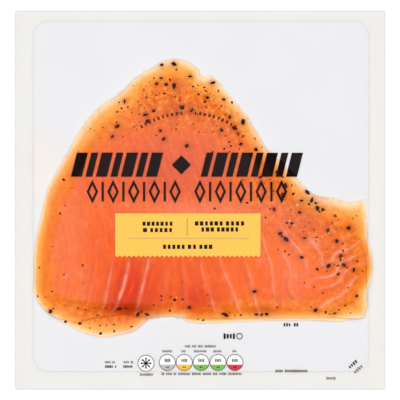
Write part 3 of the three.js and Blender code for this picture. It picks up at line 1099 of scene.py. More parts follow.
@dataclass
class Stack:
    """Heights and outlines of the four slices, in millimetres.

    Attributes:
        card_top: Height of the card's face.
        pitch: Height from one slice's underside to the next.
        thickness: Thickness of a slice.
    """

    card_top: float
    pitch: float
    thickness: float
    gap: float = 0.3
    edge_share: float = 0.24
    carried_reach: float = 1.0
    least_rim: float = 2.0
    droop_slope: float = 0.42
    droop_ease: float = 2.6
    droop_room: float = 3.0
    settling: float = 0.22
    settling_reach: float = 2.5
    shoulder: float = 4.0
    wave_height: float = 0.1
    wave_length: float = 34.0
    wave_bend: float = 0.6
    cross_wave: float = 0.8
    round_edge: float = 0.9
    outline_samples: int = 1100
    batch: int = 4000
    join_softness: float = 0.12
    hold_band: Place = (-3.0, 1.0)
    nose_share: float = 0.25
    outlines: dict[Level, Outline] = field(default_factory=dict)

    @classmethod
    def from_frame(cls) -> "Stack":
        """Read the heights from the CAD pieces and draw the outlines."""
        lows = {name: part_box(name)[0][2] / MM for name in ("slice_bottom", "slice_second", "slice_third")}
        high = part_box("slice_third")[1][2] / MM
        stack = cls(card_top=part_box("card")[1][2] / MM, pitch=lows["slice_second"] - lows["slice_bottom"],
                    thickness=high - lows["slice_third"])
        stack.outlines = {
            Level.BOTTOM: Outline(BOTTOM_OUTLINE, 0.14, 11),
            Level.SECOND: Outline(SECOND_OUTLINE, 0.16, 12),
            Level.THIRD: Outline(THIRD_OUTLINE, 0.12, 13),
            Level.TOP: Outline(TOP_OUTLINE, 0.19, 14)}
        return stack

    def base(self, level: Level) -> float:
        """Height of the underside of a slice where it lies flat."""
        return self.card_top + self.gap + level.value * self.pitch

    def lower_radius(self, angle: Array) -> Array:
        """Distance from the heart to the edge of whichever lower slice reaches furthest."""
        return np.max([self.outlines[level].radius(angle) for level in self.below(Level.TOP)], axis=0)

    def carried_radius(self, angle: Array) -> Array:
        """Distance from the heart to where the top slice starts to thin."""
        return np.minimum(self.lower_radius(angle) + self.carried_reach,
                          self.outlines[Level.TOP].radius(angle) - self.least_rim)

    def swell(self, x: Array, y: Array) -> Array:
        """Low waves of the flesh: a sine across the slice, bent by one along it.

        Args:
            x: Places across the pack.
            y: Places up the pack.

        Returns:
            The heights.
        """
        turns = TURN / self.wave_length
        bent = np.sin(x * turns + self.wave_bend * np.sin(y * turns))
        return self.wave_height * (bent + np.cos(y * turns * self.cross_wave))

    def inset(self, x: Array, y: Array) -> Array:
        """Distance of points from the outline of the whole stack: from the nearest of even samples
        of the furthest slice at each angle, worked out in batches.

        Args:
            x: Places across the pack.
            y: Places up the pack.

        Returns:
            The distances.
        """
        angle = np.arange(self.outline_samples) * TURN / self.outline_samples
        reach = np.max([outline.radius(angle) for outline in self.outlines.values()], axis=0)
        rim = np.column_stack(placed(angle, reach))
        points = np.column_stack([x, y])
        batches = np.array_split(points, max(1, len(points) // self.batch))
        return np.concatenate([
            np.sqrt(((batch[:, None, :] - rim[None, :, :]) ** 2).sum(axis=2).min(axis=1))
            for batch in batches])

    def settled(self, level: Level, angle: Array, radius: Array) -> Array:
        """How far a slice's rim sinks through the gap onto what lies beneath: a square law over its
        last millimetres."""
        edge = self.outlines[level].ragged_radius(angle)
        return self.settling * np.clip(1.0 - (edge - radius) / self.settling_reach, 0.0, 1.0) ** 2

    @staticmethod
    def below(level: Level) -> list[Level]:
        """The slices that a slice lies on, lowest first."""
        return [lower for lower in Level if lower.value < level.value]

    def support(self, level: Level, angle: Array) -> Array:
        """Height of what carries the rim of a slice: the highest lower slice that reaches past it,
        or else the card, with a soft change from one to the other.

        Args:
            level: The slice.
            angle: Angles about the heart.

        Returns:
            The heights.
        """
        edge = self.outlines[level].radius(angle)
        height = np.full(angle.shape, self.card_top + self.gap)
        for lower in self.below(level):
            reach = self.outlines[lower].radius(angle)
            held = self.rest(lower, angle, np.minimum(edge, reach)) + self.pitch
            height = height + (held - height) * smoothstep(*self.hold_band, reach - edge)
        return height

    def rest(self, level: Level, angle: Array, radius: Array) -> Array:
        """Underside of a slice that sags: highest of the card and of a tent over each lower slice,
        which falls past its edge at a slope that brings the rim down onto its support. The fall
        starts as a square law.

        Args:
            level: The slice.
            angle: Angles about the heart.
            radius: Distances from it.

        Returns:
            The heights.
        """
        tents = [np.full(radius.shape, self.card_top + self.gap)]
        support = self.support(level, angle)
        for lower in self.below(level):
            edge = self.outlines[lower].radius(angle)
            start = edge + self.carried_reach
            room = np.maximum(self.outlines[level].radius(angle) - start, self.droop_room)
            held = self.rest(lower, angle, edge) + self.pitch
            slope = np.maximum((held - support) / room, self.droop_slope)
            past = radius - start
            fall = np.where(past > self.droop_ease, past,
                            np.maximum(past + self.droop_ease, 0.0) ** 2 / (4.0 * self.droop_ease))
            tents.append(self.rest(lower, angle, np.minimum(radius, edge)) + self.pitch - slope * fall)
        return soft_max(tents, self.join_softness)

    def underside(self, level: Level, angle: Array, radius: Array) -> Array:
        """Underside of a slice with its rim settled."""
        return self.rest(level, angle, radius) - self.settled(level, angle, radius)

    def top_face(self, angle: Array, radius: Array) -> Array:
        """Face of the top slice: underside plus a thickness that falls as the square of the way
        over the rim, with a rounded last millimetre.

        Args:
            angle: Angles about the heart.
            radius: Distances from it.

        Returns:
            The heights.
        """
        carried = self.carried_radius(angle)
        edge = self.outlines[Level.TOP].ragged_radius(angle)
        rim = np.clip((radius - carried) / (edge - carried), 0.0, 1.0)
        thickness = self.thickness * (1.0 - (1.0 - self.edge_share) * rim ** 2)
        nose = np.clip((edge - radius) / self.round_edge, 0.0, 1.0)
        thickness = thickness * (self.nose_share + (1.0 - self.nose_share) * np.sqrt(1.0 - (1.0 - nose) ** 2))
        waves = self.swell(*placed(angle, radius)) * (1.0 - rim)
        return self.underside(Level.TOP, angle, radius) + thickness + waves

    def lower_face(self, level: Level, angle: Array, radius: Array) -> Array:
        """Face of a lower slice: even, and rounded off over its shoulder as a quarter of a circle.

        Args:
            level: The slice.
            angle: Angles about the heart.
            radius: Distances from it.

        Returns:
            The heights.
        """
        edge = self.outlines[level].ragged_radius(angle)
        share = np.clip((edge - radius) / self.shoulder, 0.0, 1.0)
        profile = self.edge_share * 0.5 + (1.0 - self.edge_share * 0.5) * np.sqrt(1.0 - (1.0 - share) ** 2)
        return self.underside(level, angle, radius) + self.thickness * profile

    def face(self, level: Level, angle: Array, radius: Array) -> Array:
        """Height of a slice's face at angles and distances from the heart."""
        return self.top_face(angle, radius) if level is Level.TOP else self.lower_face(level, angle, radius)

    def height_at(self, level: Level, x: Array, y: Array) -> Array:
        """Height of a slice's face at places on the plan."""
        return self.face(level, *polar(x, y))


@dataclass
class Slice:
    """One slice of the stack as a fine closed mesh.

    Attributes:
        level: Its place in the stack.
        node: The CAD node that it replaces.
        rays: Number of points round each ring.
        rings: Number of rings on the face.
    """

    level: Level
    node: str
    rays: int
    rings: int
    underside_rings: tuple[float, ...] = (0.5, 0.8, 0.88, 0.94, 1.0)
    rim_rings: tuple[float, ...] = (0.994, 0.997, 0.999, 1.0)
    crowding: float = 0.12
    seam_relief: float = 0.08
    dome_power: float = 0.6
    dome_drop: float = 0.7
    core_inset: float = 6.5
    halo: Place = (0.7, 0.55)

    def build(self, stack: Stack, muscle: MuscleField) -> Piece:
        """Build the slice: rings at growing shares of the outline's distance from the heart,
        closer together at the edge, over an underside of a few rings.

        Args:
            stack: Heights and outlines.
            muscle: Field of the seams of fat.

        Returns:
            The mesh object.
        """
        angle = np.arange(self.rays) * TURN / self.rays
        edge = stack.outlines[self.level].ragged_radius(angle)
        share = np.linspace(0.0, 1.0, self.rings + 1)[1:]
        share = share + self.crowding * share * (1.0 - share) * (1.0 + share)
        share = np.unique(np.concatenate([share[share < self.rim_rings[0] - 0.002], self.rim_rings]))
        radius = share[:, None] * edge[None, :]
        turned = np.broadcast_to(angle, radius.shape)
        x, y = placed(turned, radius)
        height = stack.face(self.level, turned, radius)
        order = muscle.order(x.ravel(), y.ravel())
        seam = muscle.strength(x.ravel(), y.ravel()) if self.level is Level.TOP else np.zeros(x.size)
        pace = muscle.pace(x.ravel(), y.ravel())
        if self.level is Level.TOP:
            dome = np.abs(np.sin(np.pi * order)) ** self.dome_power - self.dome_drop
            height = height + (self.seam_relief * dome * seam).reshape(height.shape)
        under_radius = np.array(self.underside_rings)[:, None] * edge[None, :]
        under_turned = np.broadcast_to(angle, under_radius.shape)
        under_height = stack.underside(self.level, under_turned, under_radius)
        middle = np.array([[*HEART, height[0].mean()], [*HEART, stack.base(self.level)]])
        points = np.concatenate([
            np.stack([x, y, height], axis=-1).reshape(-1, 3),
            np.stack([*placed(under_turned, under_radius), under_height], axis=-1).reshape(-1, 3), middle])
        values = self._values(stack, points, order, seam, pace)
        return Mesher.build(self.node.replace("slice", "salmon"), points, self._faces(len(share)), values)

    def _faces(self, rings: int) -> list[Array]:
        """Faces of both sides, of the middle fans and of the rim.

        Args:
            rings: Number of rings on the face.

        Returns:
            Arrays of faces.
        """
        under_first = rings * self.rays
        under_rings = len(self.underside_rings)
        last = under_first + under_rings * self.rays
        ray = np.arange(self.rays)
        after = (ray + 1) % self.rays
        rim, under_rim = (rings - 1) * self.rays, last - self.rays
        return [
            Mesher.grid_faces(rings, self.rays, 0, True),
            Mesher.grid_faces(under_rings, self.rays, under_first, True, True),
            np.column_stack([np.full(self.rays, last), ray, after]),
            np.column_stack([np.full(self.rays, last + 1), under_first + after, under_first + ray]),
            np.column_stack([under_rim + ray, under_rim + after, rim + after, rim + ray])]

    def _values(self, stack: Stack, points: Array, order: Array, seam: Array,
                pace: Array) -> dict[str, Array]:
        """Numbers for the finish at each point.

        Args:
            stack: Heights and outlines.
            points: All points of the slice.
            order: Count of seams at the points of the face.
            seam: How clearly seams show there.
            pace: Millimetres from seam to seam there.

        Returns:
            One array for each number that the finish reads.
        """
        spare = len(points) - len(order)
        inset = stack.inset(points[:, 0], points[:, 1])
        tone, blush, rub, stain, rim, pale = (self._patched(points, patches) for patches in (
            TONE_PATCHES, BLUSH_PATCHES, RUB_PATCHES, STAIN_PATCHES, RIM_PATCHES, PALE_PATCHES))
        places = np.array([(flake.x, flake.y, flake.length) for flake in LARGE_FLAKES])
        squared = ((points[:, None, :2] - places[None, :, :2]) ** 2).sum(axis=2)
        halo = self.halo[0] * np.exp(-squared / (2.0 * (self.halo[1] * places[:, 2]) ** 2)).max(axis=1)
        core = inset - self.core_inset * (1.0 + np.maximum(rim, -0.5 * rim))
        values = {"inset": inset / (1.0 + rim), "core": core, "tone": tone, "blush": blush, "rub": rub,
                  "stain": np.maximum(stain, halo), "pale": pale}
        for label in ("tone", "blush", "rub", "stain", "pale"):
            values[label] = np.clip(values[label], 0.0, 1.0)
        for label, numbers in (("order", order), ("seam", seam), ("pace", pace)):
            values[label] = np.concatenate([numbers, np.full(spare, numbers[0])])
        return values

    @staticmethod
    def _patched(points: Array, patches: Sequence[TonePatch]) -> Array:
        """Sum of bell-shaped patches at each point.

        Args:
            points: The points.
            patches: The patches.

        Returns:
            The sums.
        """
        total = np.zeros(len(points))
        for patch in patches:
            across = (points[:, 0] - patch.x) / patch.reach_x
            along = (points[:, 1] - patch.y) / patch.reach_y
            total += patch.amount * np.exp(-0.5 * (across ** 2 + along ** 2))
        return total


@dataclass(frozen=True)
class Flake:
    """One corn of cracked pepper: place, length and turn."""

    x: float
    y: float
    length: float
    turn: float


@dataclass(frozen=True)
class FlakeZone:
    """Oval in which smaller flakes are strewn."""

    share: float
    x: float
    y: float
    reach_x: float
    reach_y: float


LARGE_FLAKES: tuple[Flake, ...] = tuple(Flake(*values) for values in (
    (-14.8, 77.2, 3, 140), (-14.8, 64.7, 3.2, 80), (-19.4, 65.4, 2.2, 0), (-10.2, 52.6, 3, 30),
    (-5, 50.6, 2.6, 60), (4, 58.1, 2.6, 160), (13.3, 57.1, 2, 0), (7.2, 66.6, 3.2, 15),
    (-30.8, 48.2, 2.8, 10), (16.8, 46.9, 2.4, 60), (24.4, 44.2, 2.8, 65), (-7.4, 30.8, 2.4, 30),
    (60.8, 4.6, 3, 125), (63.4, 0, 3.4, 70), (66.4, -4.6, 2.8, 120), (69.4, -5.2, 2.4, 160),
    (84, -15.8, 2.8, 0), (77.2, -23, 2.2, 110), (79.4, -31.6, 2.2, 80), (81.3, -36.6, 3, 150),
    (72.6, -37, 2.8, 40), (86.8, -39.4, 2.2, 90), (65.4, -62.2, 2.6, 45), (-84.8, -63, 2.6, 60),
    (-45.4, -61.4, 3, 20), (-35.2, -64.4, 2.8, 60), (-30, -64.6, 2.8, 155), (30.6, -51.4, 2.6, 0),
    (45.4, -19, 2.6, 0), (-49.6, 36, 2.4, 45), (-21.7, 76.6, 2, 10), (-21.9, 69, 2, 0),
    (-24.6, 65.8, 2.2, 20), (-42.8, 56, 2.4, 100), (-46.7, 41.8, 2.6, 20), (-29.7, 44.6, 2.5, 40),
    (-20.5, 34.6, 2.4, 40), (-22.6, 39.2, 2, 150), (-26.3, 50.6, 2, 30), (-5.7, 70.1, 2.2, 5),
    (12.1, 39.5, 2.4, 140), (19.1, 40.8, 3, 160), (21.4, 37.8, 2, 155), (22.8, 31.7, 2, 50),
    (31.4, 28.6, 2.2, 0), (33.5, 22, 2.6, 60), (44, 15.6, 3, 140), (34.4, 9.3, 2.6, 120),
    (34.1, 13.1, 2, 30), (48.3, 8.4, 3, 110), (46.8, 2.7, 3, 50), (57.5, -0.2, 2.2, 0),
    (56.2, -6.8, 2, 160), (41.7, -5.2, 2.2, 120), (51.8, -13.1, 2.2, 0), (72.1, -17, 2.2, 70),
    (59.1, -21.4, 2, 0), (48.5, -22, 3.2, 145), (57.6, -32.2, 2.2, 10), (88.5, -54.2, 2, 60),
    (76.1, -64, 2, 20), (31.8, -64.6, 2.4, 0), (34.9, -64.8, 2.2, 20), (37.6, -64.4, 2.2, 0),
    (14.6, -64.9, 3.2, 150), (-42.2, -61.1, 2, 150), (-6.2, -60.6, 2.4, 100)))

# Smaller corns, too fine for the CAD solid: place and length
SMALL_BLACK: tuple[Spot, ...] = (
    (-17.1, 67.9, 1.6), (-20.2, 60.3, 1.8), (-24.8, 59.4, 1.6), (-30.3, 58.1, 1.6), (-45.8, 55.4, 1.5),
    (-47.2, 44, 1.4), (-35.7, 40, 1.2), (-4, 64.3, 1.3), (2.4, 63.9, 1.2), (3.1, 61.9, 1.4),
    (13.5, 29.1, 1.4), (18.1, 55.4, 1.4), (17.4, 30.6, 1.2), (7.5, 38.6, 1.3), (52.6, 3.5, 1.6),
    (26.5, -1.4, 1.6), (8.3, -4.7, 1.5), (-77.4, 11.7, 1.8), (-21.9, -54.2, 1.6), (-14.4, -56.3, 1.8),
    (-9.9, -56.1, 1.6), (37, -9.9, 1.6), (80.8, -28.5, 1.3), (83.6, -49.4, 1.2), (82, -59.4, 1.2),
    (65.4, -1.6, 1.8), (61.6, -2.2, 1.9), (49.2, -12.7, 1.8), (65.8, -20.9, 1.6), (83.1, -38.2, 1.4),
    (46.3, -20.4, 1.8), (-92, -54.4, 1.3), (12.7, -64.3, 1.5), (-33.2, -63.2, 1.5), (79.2, -33.6, 1.4),
    (67.6, -6.4, 1.5))
SMALL_BROWN: tuple[Spot, ...] = (
    (-13.4, 73.9, 1.6), (-26.1, 69, 1.5), (-28.5, 66.8, 1), (-31.8, 62.5, 1), (-30.3, 59.9, 1.2),
    (-35.1, 55.8, 1.3), (-44.4, 52, 1.6), (-46.9, 49.9, 1.8), (-38.6, 49.5, 1.4), (-43.4, 36, 1.4),
    (-54.9, 41.2, 1), (-59.6, 39.5, 1), (-62.1, 40.5, 0.8), (-56.3, 35.1, 1), (-68.9, 27.5, 1.3),
    (-37.2, 41.5, 1.3), (-11.4, 57.9, 1.3), (-1.3, 52.7, 1.6), (3.4, 52.6, 1.8), (10.7, 51.8, 1.8),
    (-4, 43.2, 1.2), (24.5, 36.2, 1.2), (31, 35, 1.4), (35, 30, 1.2), (13.3, 28.8, 1.2), (21.9, 28.8, 1.4),
    (47, 13.1, 1.6), (51.8, 8, 1), (51.5, -5.1, 1.2), (39.6, -4.9, 1.2), (32.2, 2.3, 1.3), (41, 5.3, 1.8),
    (-72.4, 7.1, 1.6), (-76.3, -3, 1.4), (-79.2, -7.4, 1.6), (-83.3, -26.1, 1.2), (-66.4, -36.7, 1.6),
    (-91, -38.1, 1.2), (-77, -41.9, 1.4), (-83.8, -51.5, 1.4), (-87.5, -54.9, 1.2), (-83.1, -61.4, 1.4),
    (-69.1, -61.1, 1.8), (-64.7, -62.1, 1.4), (-58, -65, 1.6), (-53.3, -61.1, 1.8), (-21.9, -56.4, 1.3),
    (-17.2, -62.4, 1.6), (-10.2, -46, 1.8), (4.9, -59.8, 1.8), (50.5, -15.3, 1.4), (61.7, -12.6, 1.6),
    (64.4, -16.5, 1.8), (76.9, -16.3, 1.2), (80.5, -24.6, 1.4), (43.9, -27.9, 1.2), (88.9, -34.6, 1.6),
    (78.5, -62, 1.6), (16.8, -63.6, 1.6), (86.5, -10.5, 0.9), (73.4, -64.4, 1.2), (85.2, -63.8, 1.2))
SMALL_HUSK: tuple[Spot, ...] = (
    (-20.1, 63.4, 1.5), (-43.9, 53.4, 1.8), (16.4, 50.4, 1.8), (10.4, 41, 1.3), (5.2, 52.7, 1.3),
    (44.4, 17.6, 1.6), (47, 1.2, 1.8), (55, -2.4, 1.8), (64.2, 0.9, 1.4), (70.4, -6.4, 1.4),
    (52.9, -14, 1.6), (50.6, -11.8, 1.4), (-13.4, -55, 1), (33.6, -63.4, 1.4), (80.4, -32.8, 1.2),
    (12.6, 37.8, 1), (72.9, -18.6, 1.3), (-21, 70.4, 1.2), (58.4, -26.4, 1), (-10.6, 61.6, 1))
BOTTOM_BLACK: tuple[Flake, ...] = (
    Flake(-76, -68.6, 1.8, 30), Flake(-68.2, -69.8, 2, 0), Flake(-56.4, -75.4, 2, 0))
BOTTOM_BROWN: tuple[Flake, ...] = (
    Flake(-48.7, -74.2, 1.6, 70), Flake(-48.9, -70.5, 1.6, 20), Flake(-53, -70.7, 1.3, 80),
    Flake(-56.7, -70.9, 1.4, 40), Flake(-38.8, -71.6, 1.8, 0), Flake(-62.4, -72.4, 1.1, 30))
SECOND_BLACK: tuple[Flake, ...] = (
    Flake(1.8, -68, 1.8, 10), Flake(-1.2, -67.6, 1.2, 60))
FLAKE_ZONES: tuple[FlakeZone, ...] = (
    FlakeZone(0.3, -14, 60, 34, 22), FlakeZone(0.24, 32, 30, 34, 30), FlakeZone(0.2, 74, -26, 24, 28),
    FlakeZone(0.13, 10, -60, 84, 6), FlakeZone(0.13, -20, -20, 76, 60))


class Pepper:
    """Cracked pepper on the top slice: large corns, smaller ones and fine specks, by colour."""

    SCATTERED: ClassVar[int] = 60
    SPECKS: ClassVar[int] = 110
    MARGIN: ClassVar[float] = 2.5
    SPACING: ClassVar[float] = 2.6
    PROUD: ClassVar[float] = 0.42
    TALLEST: ClassVar[float] = 0.38
    GROWTH: ClassVar[float] = 1.1
    LUMPS: ClassVar[float] = 2.2
    CORE: ClassVar[float] = 0.92
    UNEVEN: ClassVar[float] = 0.12
    WIDTHS: ClassVar[Place] = (0.22, 0.44)

    def __init__(self, stack: Stack) -> None:
        """Strew the flakes.

        Args:
            stack: Heights and outlines of the fish.
        """
        self._stack = stack
        self._corn = self._unit_corn()
        scattered = self._scatter(self.SCATTERED, 0, (1.1, 1.1), self.MARGIN, self.SPACING)
        specks = self._scatter(self.SPECKS, 4000, (0.5, 0.5), 1.2, 1.1)
        black, brown, self.husks = (self._listed(rows, draw) for rows, draw in (
            (SMALL_BLACK, 6000), (SMALL_BROWN, 7000), (SMALL_HUSK, 8000)))
        self.blacks = list(LARGE_FLAKES) + black + scattered[::3]
        self.browns = brown + scattered[1::3] + scattered[2::3] + specks

    @staticmethod
    def _listed(rows: Sequence[Spot], draw: int) -> list[Flake]:
        """Flakes of listed places and lengths, each turned at random."""
        return [Flake(*row, 180.0 * chance(draw + index)) for index, row in enumerate(rows)]

    @staticmethod
    def _unit_corn() -> tuple[Array, Array]:
        """Points and triangles of a ball with 80 even faces.

        Returns:
            The points and the triangles.
        """
        shape = bmesh.new()
        bmesh.ops.create_icosphere(shape, subdivisions=2, radius=1.0)
        points = np.array([point.co for point in shape.verts], dtype=float)
        triangles = np.array([[point.index for point in face.verts] for face in shape.faces])
        shape.free()
        return points, triangles

    def _scatter(self, count: int, draw: int, lengths: Place, margin: float,
                 spacing: float) -> list[Flake]:
        """Strew flakes in the zones, kept on the slice and clear of one another.

        Args:
            count: How many.
            draw: First random draw.
            lengths: Least length, and how much longer the longest is.
            margin: Distance kept from the edge.
            spacing: Least distance between flakes.

        Returns:
            The flakes.
        """
        placed = [(flake.x, flake.y) for flake in LARGE_FLAKES]
        strewn: list[Flake] = []
        outline = self._stack.outlines[Level.TOP]
        for zone in FLAKE_ZONES:
            wanted = len(strewn) + round(zone.share * count)
            while len(strewn) < wanted:
                spread = math.sqrt(chance(draw + 1))
                around = TURN * chance(draw + 2)
                x = zone.x + zone.reach_x * spread * math.cos(around)
                y = zone.y + zone.reach_y * spread * math.sin(around)
                length = lengths[0] + lengths[1] * chance(draw + 3) ** 2
                turn = 180.0 * chance(draw + 4)
                draw += 4
                angle, radius = polar(x, y)
                clear = all(math.hypot(other[0] - x, other[1] - y) > spacing for other in placed)
                if clear and radius < outline.radius(angle) - margin:
                    placed.append((x, y))
                    strewn.append(Flake(x, y, length, turn))
        return strewn

    def build(self, name: str, flakes: Sequence[Flake], face: Callable[[Array, Array], Array],
              seed: int) -> Piece:
        """Build one kind of pepper as joined uneven pebbles that follow the slope below them. Each
        is a ball whose points move in and out by a sum of sines, then stretched and turned.

        Args:
            name: Name of the piece.
            flakes: Where the flakes lie.
            face: Height of the flesh at places on the plan.
            seed: Seed of their unevenness.

        Returns:
            The mesh object.
        """
        pattern, triangles = self._corn
        draw = np.random.default_rng(seed)
        count = len(flakes)
        x, y, length, turn = np.array([[f.x, f.y, f.length, math.radians(f.turn)] for f in flakes]).T
        lumps = draw.normal(size=(count, 3, 3)) * self.LUMPS
        phases = draw.uniform(0, TURN, (count, 1, 3))
        wave = np.sin(np.einsum("pk,fkj->fpj", pattern, lumps) + phases).sum(axis=2)
        uneven = self.CORE + self.UNEVEN * wave + draw.uniform(-self.UNEVEN, self.UNEVEN, wave.shape)
        corn = pattern[None, :, :] * uneven[:, :, None]
        length = length * self.GROWTH
        width = draw.uniform(*self.WIDTHS, count)
        rise = self.PROUD * np.minimum(1.0, 0.35 + 0.3 * length) / 1.15
        corn = corn * np.stack([length / 2, length * width, rise], axis=1)[:, None, :]
        corn[..., 2] = np.minimum(corn[..., 2], self.TALLEST)
        turned_x = corn[..., 0] * np.cos(turn)[:, None] - corn[..., 1] * np.sin(turn)[:, None] + x[:, None]
        turned_y = corn[..., 0] * np.sin(turn)[:, None] + corn[..., 1] * np.cos(turn)[:, None] + y[:, None]
        height = corn[..., 2] + face(turned_x, turned_y)
        points = np.stack([turned_x, turned_y, height], axis=-1).reshape(-1, 3)
        faces = (triangles[None, :, :] + np.arange(count)[:, None, None] * len(pattern)).reshape(-1, 3)
        shade = np.repeat(draw.uniform(0.0, 1.0, count) ** 1.5, len(pattern))
        return Mesher.build(name, points, [faces], {"shade": shade})


@dataclass
class Film:
    """Clear film drawn down over the fish, over the edge of the card and out to the rim."""

    stack: Stack
    card_low: Place
    card_high: Place
    pack_low: Place
    pack_high: Place
    backing_top: float
    lift: float = 0.55
    over_card: float = 0.3
    thickness: float = 0.08
    slope: float = 1.25
    corner: float = 8.5
    step: float = 1.1
    softness: float = 0.16
    inset: float = 0.3
    card_edge: Place = (0.2, 1.6)
    turn_step: float = 0.02
    fold_height: float = 0.05
    fold_count: float = 61.0
    fold_place: float = 5.0
    fold_reach: float = 4.0

    def card_shelf(self, x: Array, y: Array) -> Array:
        """Film height over card and border: a smooth step across the card's rounded edge, taken
        from the distance to a rectangle with round corners.

        Args:
            x: Places across the pack.
            y: Places up the pack.

        Returns:
            The heights.
        """
        centre = (np.array(self.card_low) + self.card_high) / 2.0
        half = (np.array(self.card_high) - self.card_low) / 2.0 - self.corner
        out_x = np.maximum(np.abs(x - centre[0]) - half[0], 0.0)
        out_y = np.maximum(np.abs(y - centre[1]) - half[1], 0.0)
        past = np.hypot(out_x, out_y) - self.corner
        drop = self.stack.card_top - self.backing_top
        return self.stack.card_top + self.over_card - drop * smoothstep(*self.card_edge, past)

    def height(self, x: Array, y: Array) -> Array:
        """Film height: rounded envelope of the shelf and of a tent over each slice, whose walls
        fall at a steady slope outside the slice's edge, with ruffles of sines beside the fish.

        Args:
            x: Places across the pack.
            y: Places up the pack.

        Returns:
            The heights.
        """
        angle, radius = polar(x, y)
        fields = [self.card_shelf(x, y)]
        for level in Level:
            outline = self.stack.outlines[level]
            edge = outline.radius(angle)
            inside = np.minimum(radius, edge - self.inset)
            face = self.stack.face(level, angle, inside)
            ahead = outline.radius(angle + self.turn_step) - outline.radius(angle - self.turn_step)
            steepness = 1.0 / np.sqrt(1.0 + (ahead / (2.0 * self.turn_step * edge)) ** 2)
            past = np.maximum(radius - edge, 0.0) * steepness
            fields.append(face + self.lift - self.slope * past)
        folds = self.fold_height * np.sin(angle * self.fold_count + 3.0 * np.sin(angle * 7.0))
        beyond = radius - self.stack.outlines[Level.TOP].radius(angle)
        ruffle = folds * np.exp(-((beyond - self.fold_place) / self.fold_reach) ** 2)
        return soft_max(fields, self.softness) + np.abs(ruffle)

    def build(self) -> Piece:
        """Build the film as a thin closed skin over an even grid."""
        columns = round((self.pack_high[0] - self.pack_low[0]) / self.step) + 1
        rows = round((self.pack_high[1] - self.pack_low[1]) / self.step) + 1
        x, y = np.meshgrid(np.linspace(self.pack_low[0], self.pack_high[0], columns),
                           np.linspace(self.pack_low[1], self.pack_high[1], rows))
        height = self.height(x, y)
        upper = np.stack([x, y, height], axis=-1)
        lower = np.stack([x, y, height - self.thickness], axis=-1)
        points, faces = Mesher.slab(lower, upper)
        return Mesher.build("clear_film_drawn", points, faces)


@dataclass(frozen=True)
class Bar:
    """Plain printed bar: low corner, high corner and turn in degrees about its middle."""

    left: float
    low: float
    right: float
    high: float
    turn: float = 0.0


class Ink(Enum):
    """Inks of the print and their colours."""

    TITLE = (24, 11, 9)
    LIGHT = (30, 13, 10)
    SMALL = (82, 60, 56)
    ARC = (98, 36, 16)
    FAINT = (132, 116, 108)
    BROWN = (150, 122, 96)
    PANEL = (254, 197, 86)
    WHITE = (250, 250, 250)
    GREY = (188, 188, 190)
    AMBER = (250, 190, 70)
    GREEN = (124, 190, 80)
    RED = (222, 52, 72)


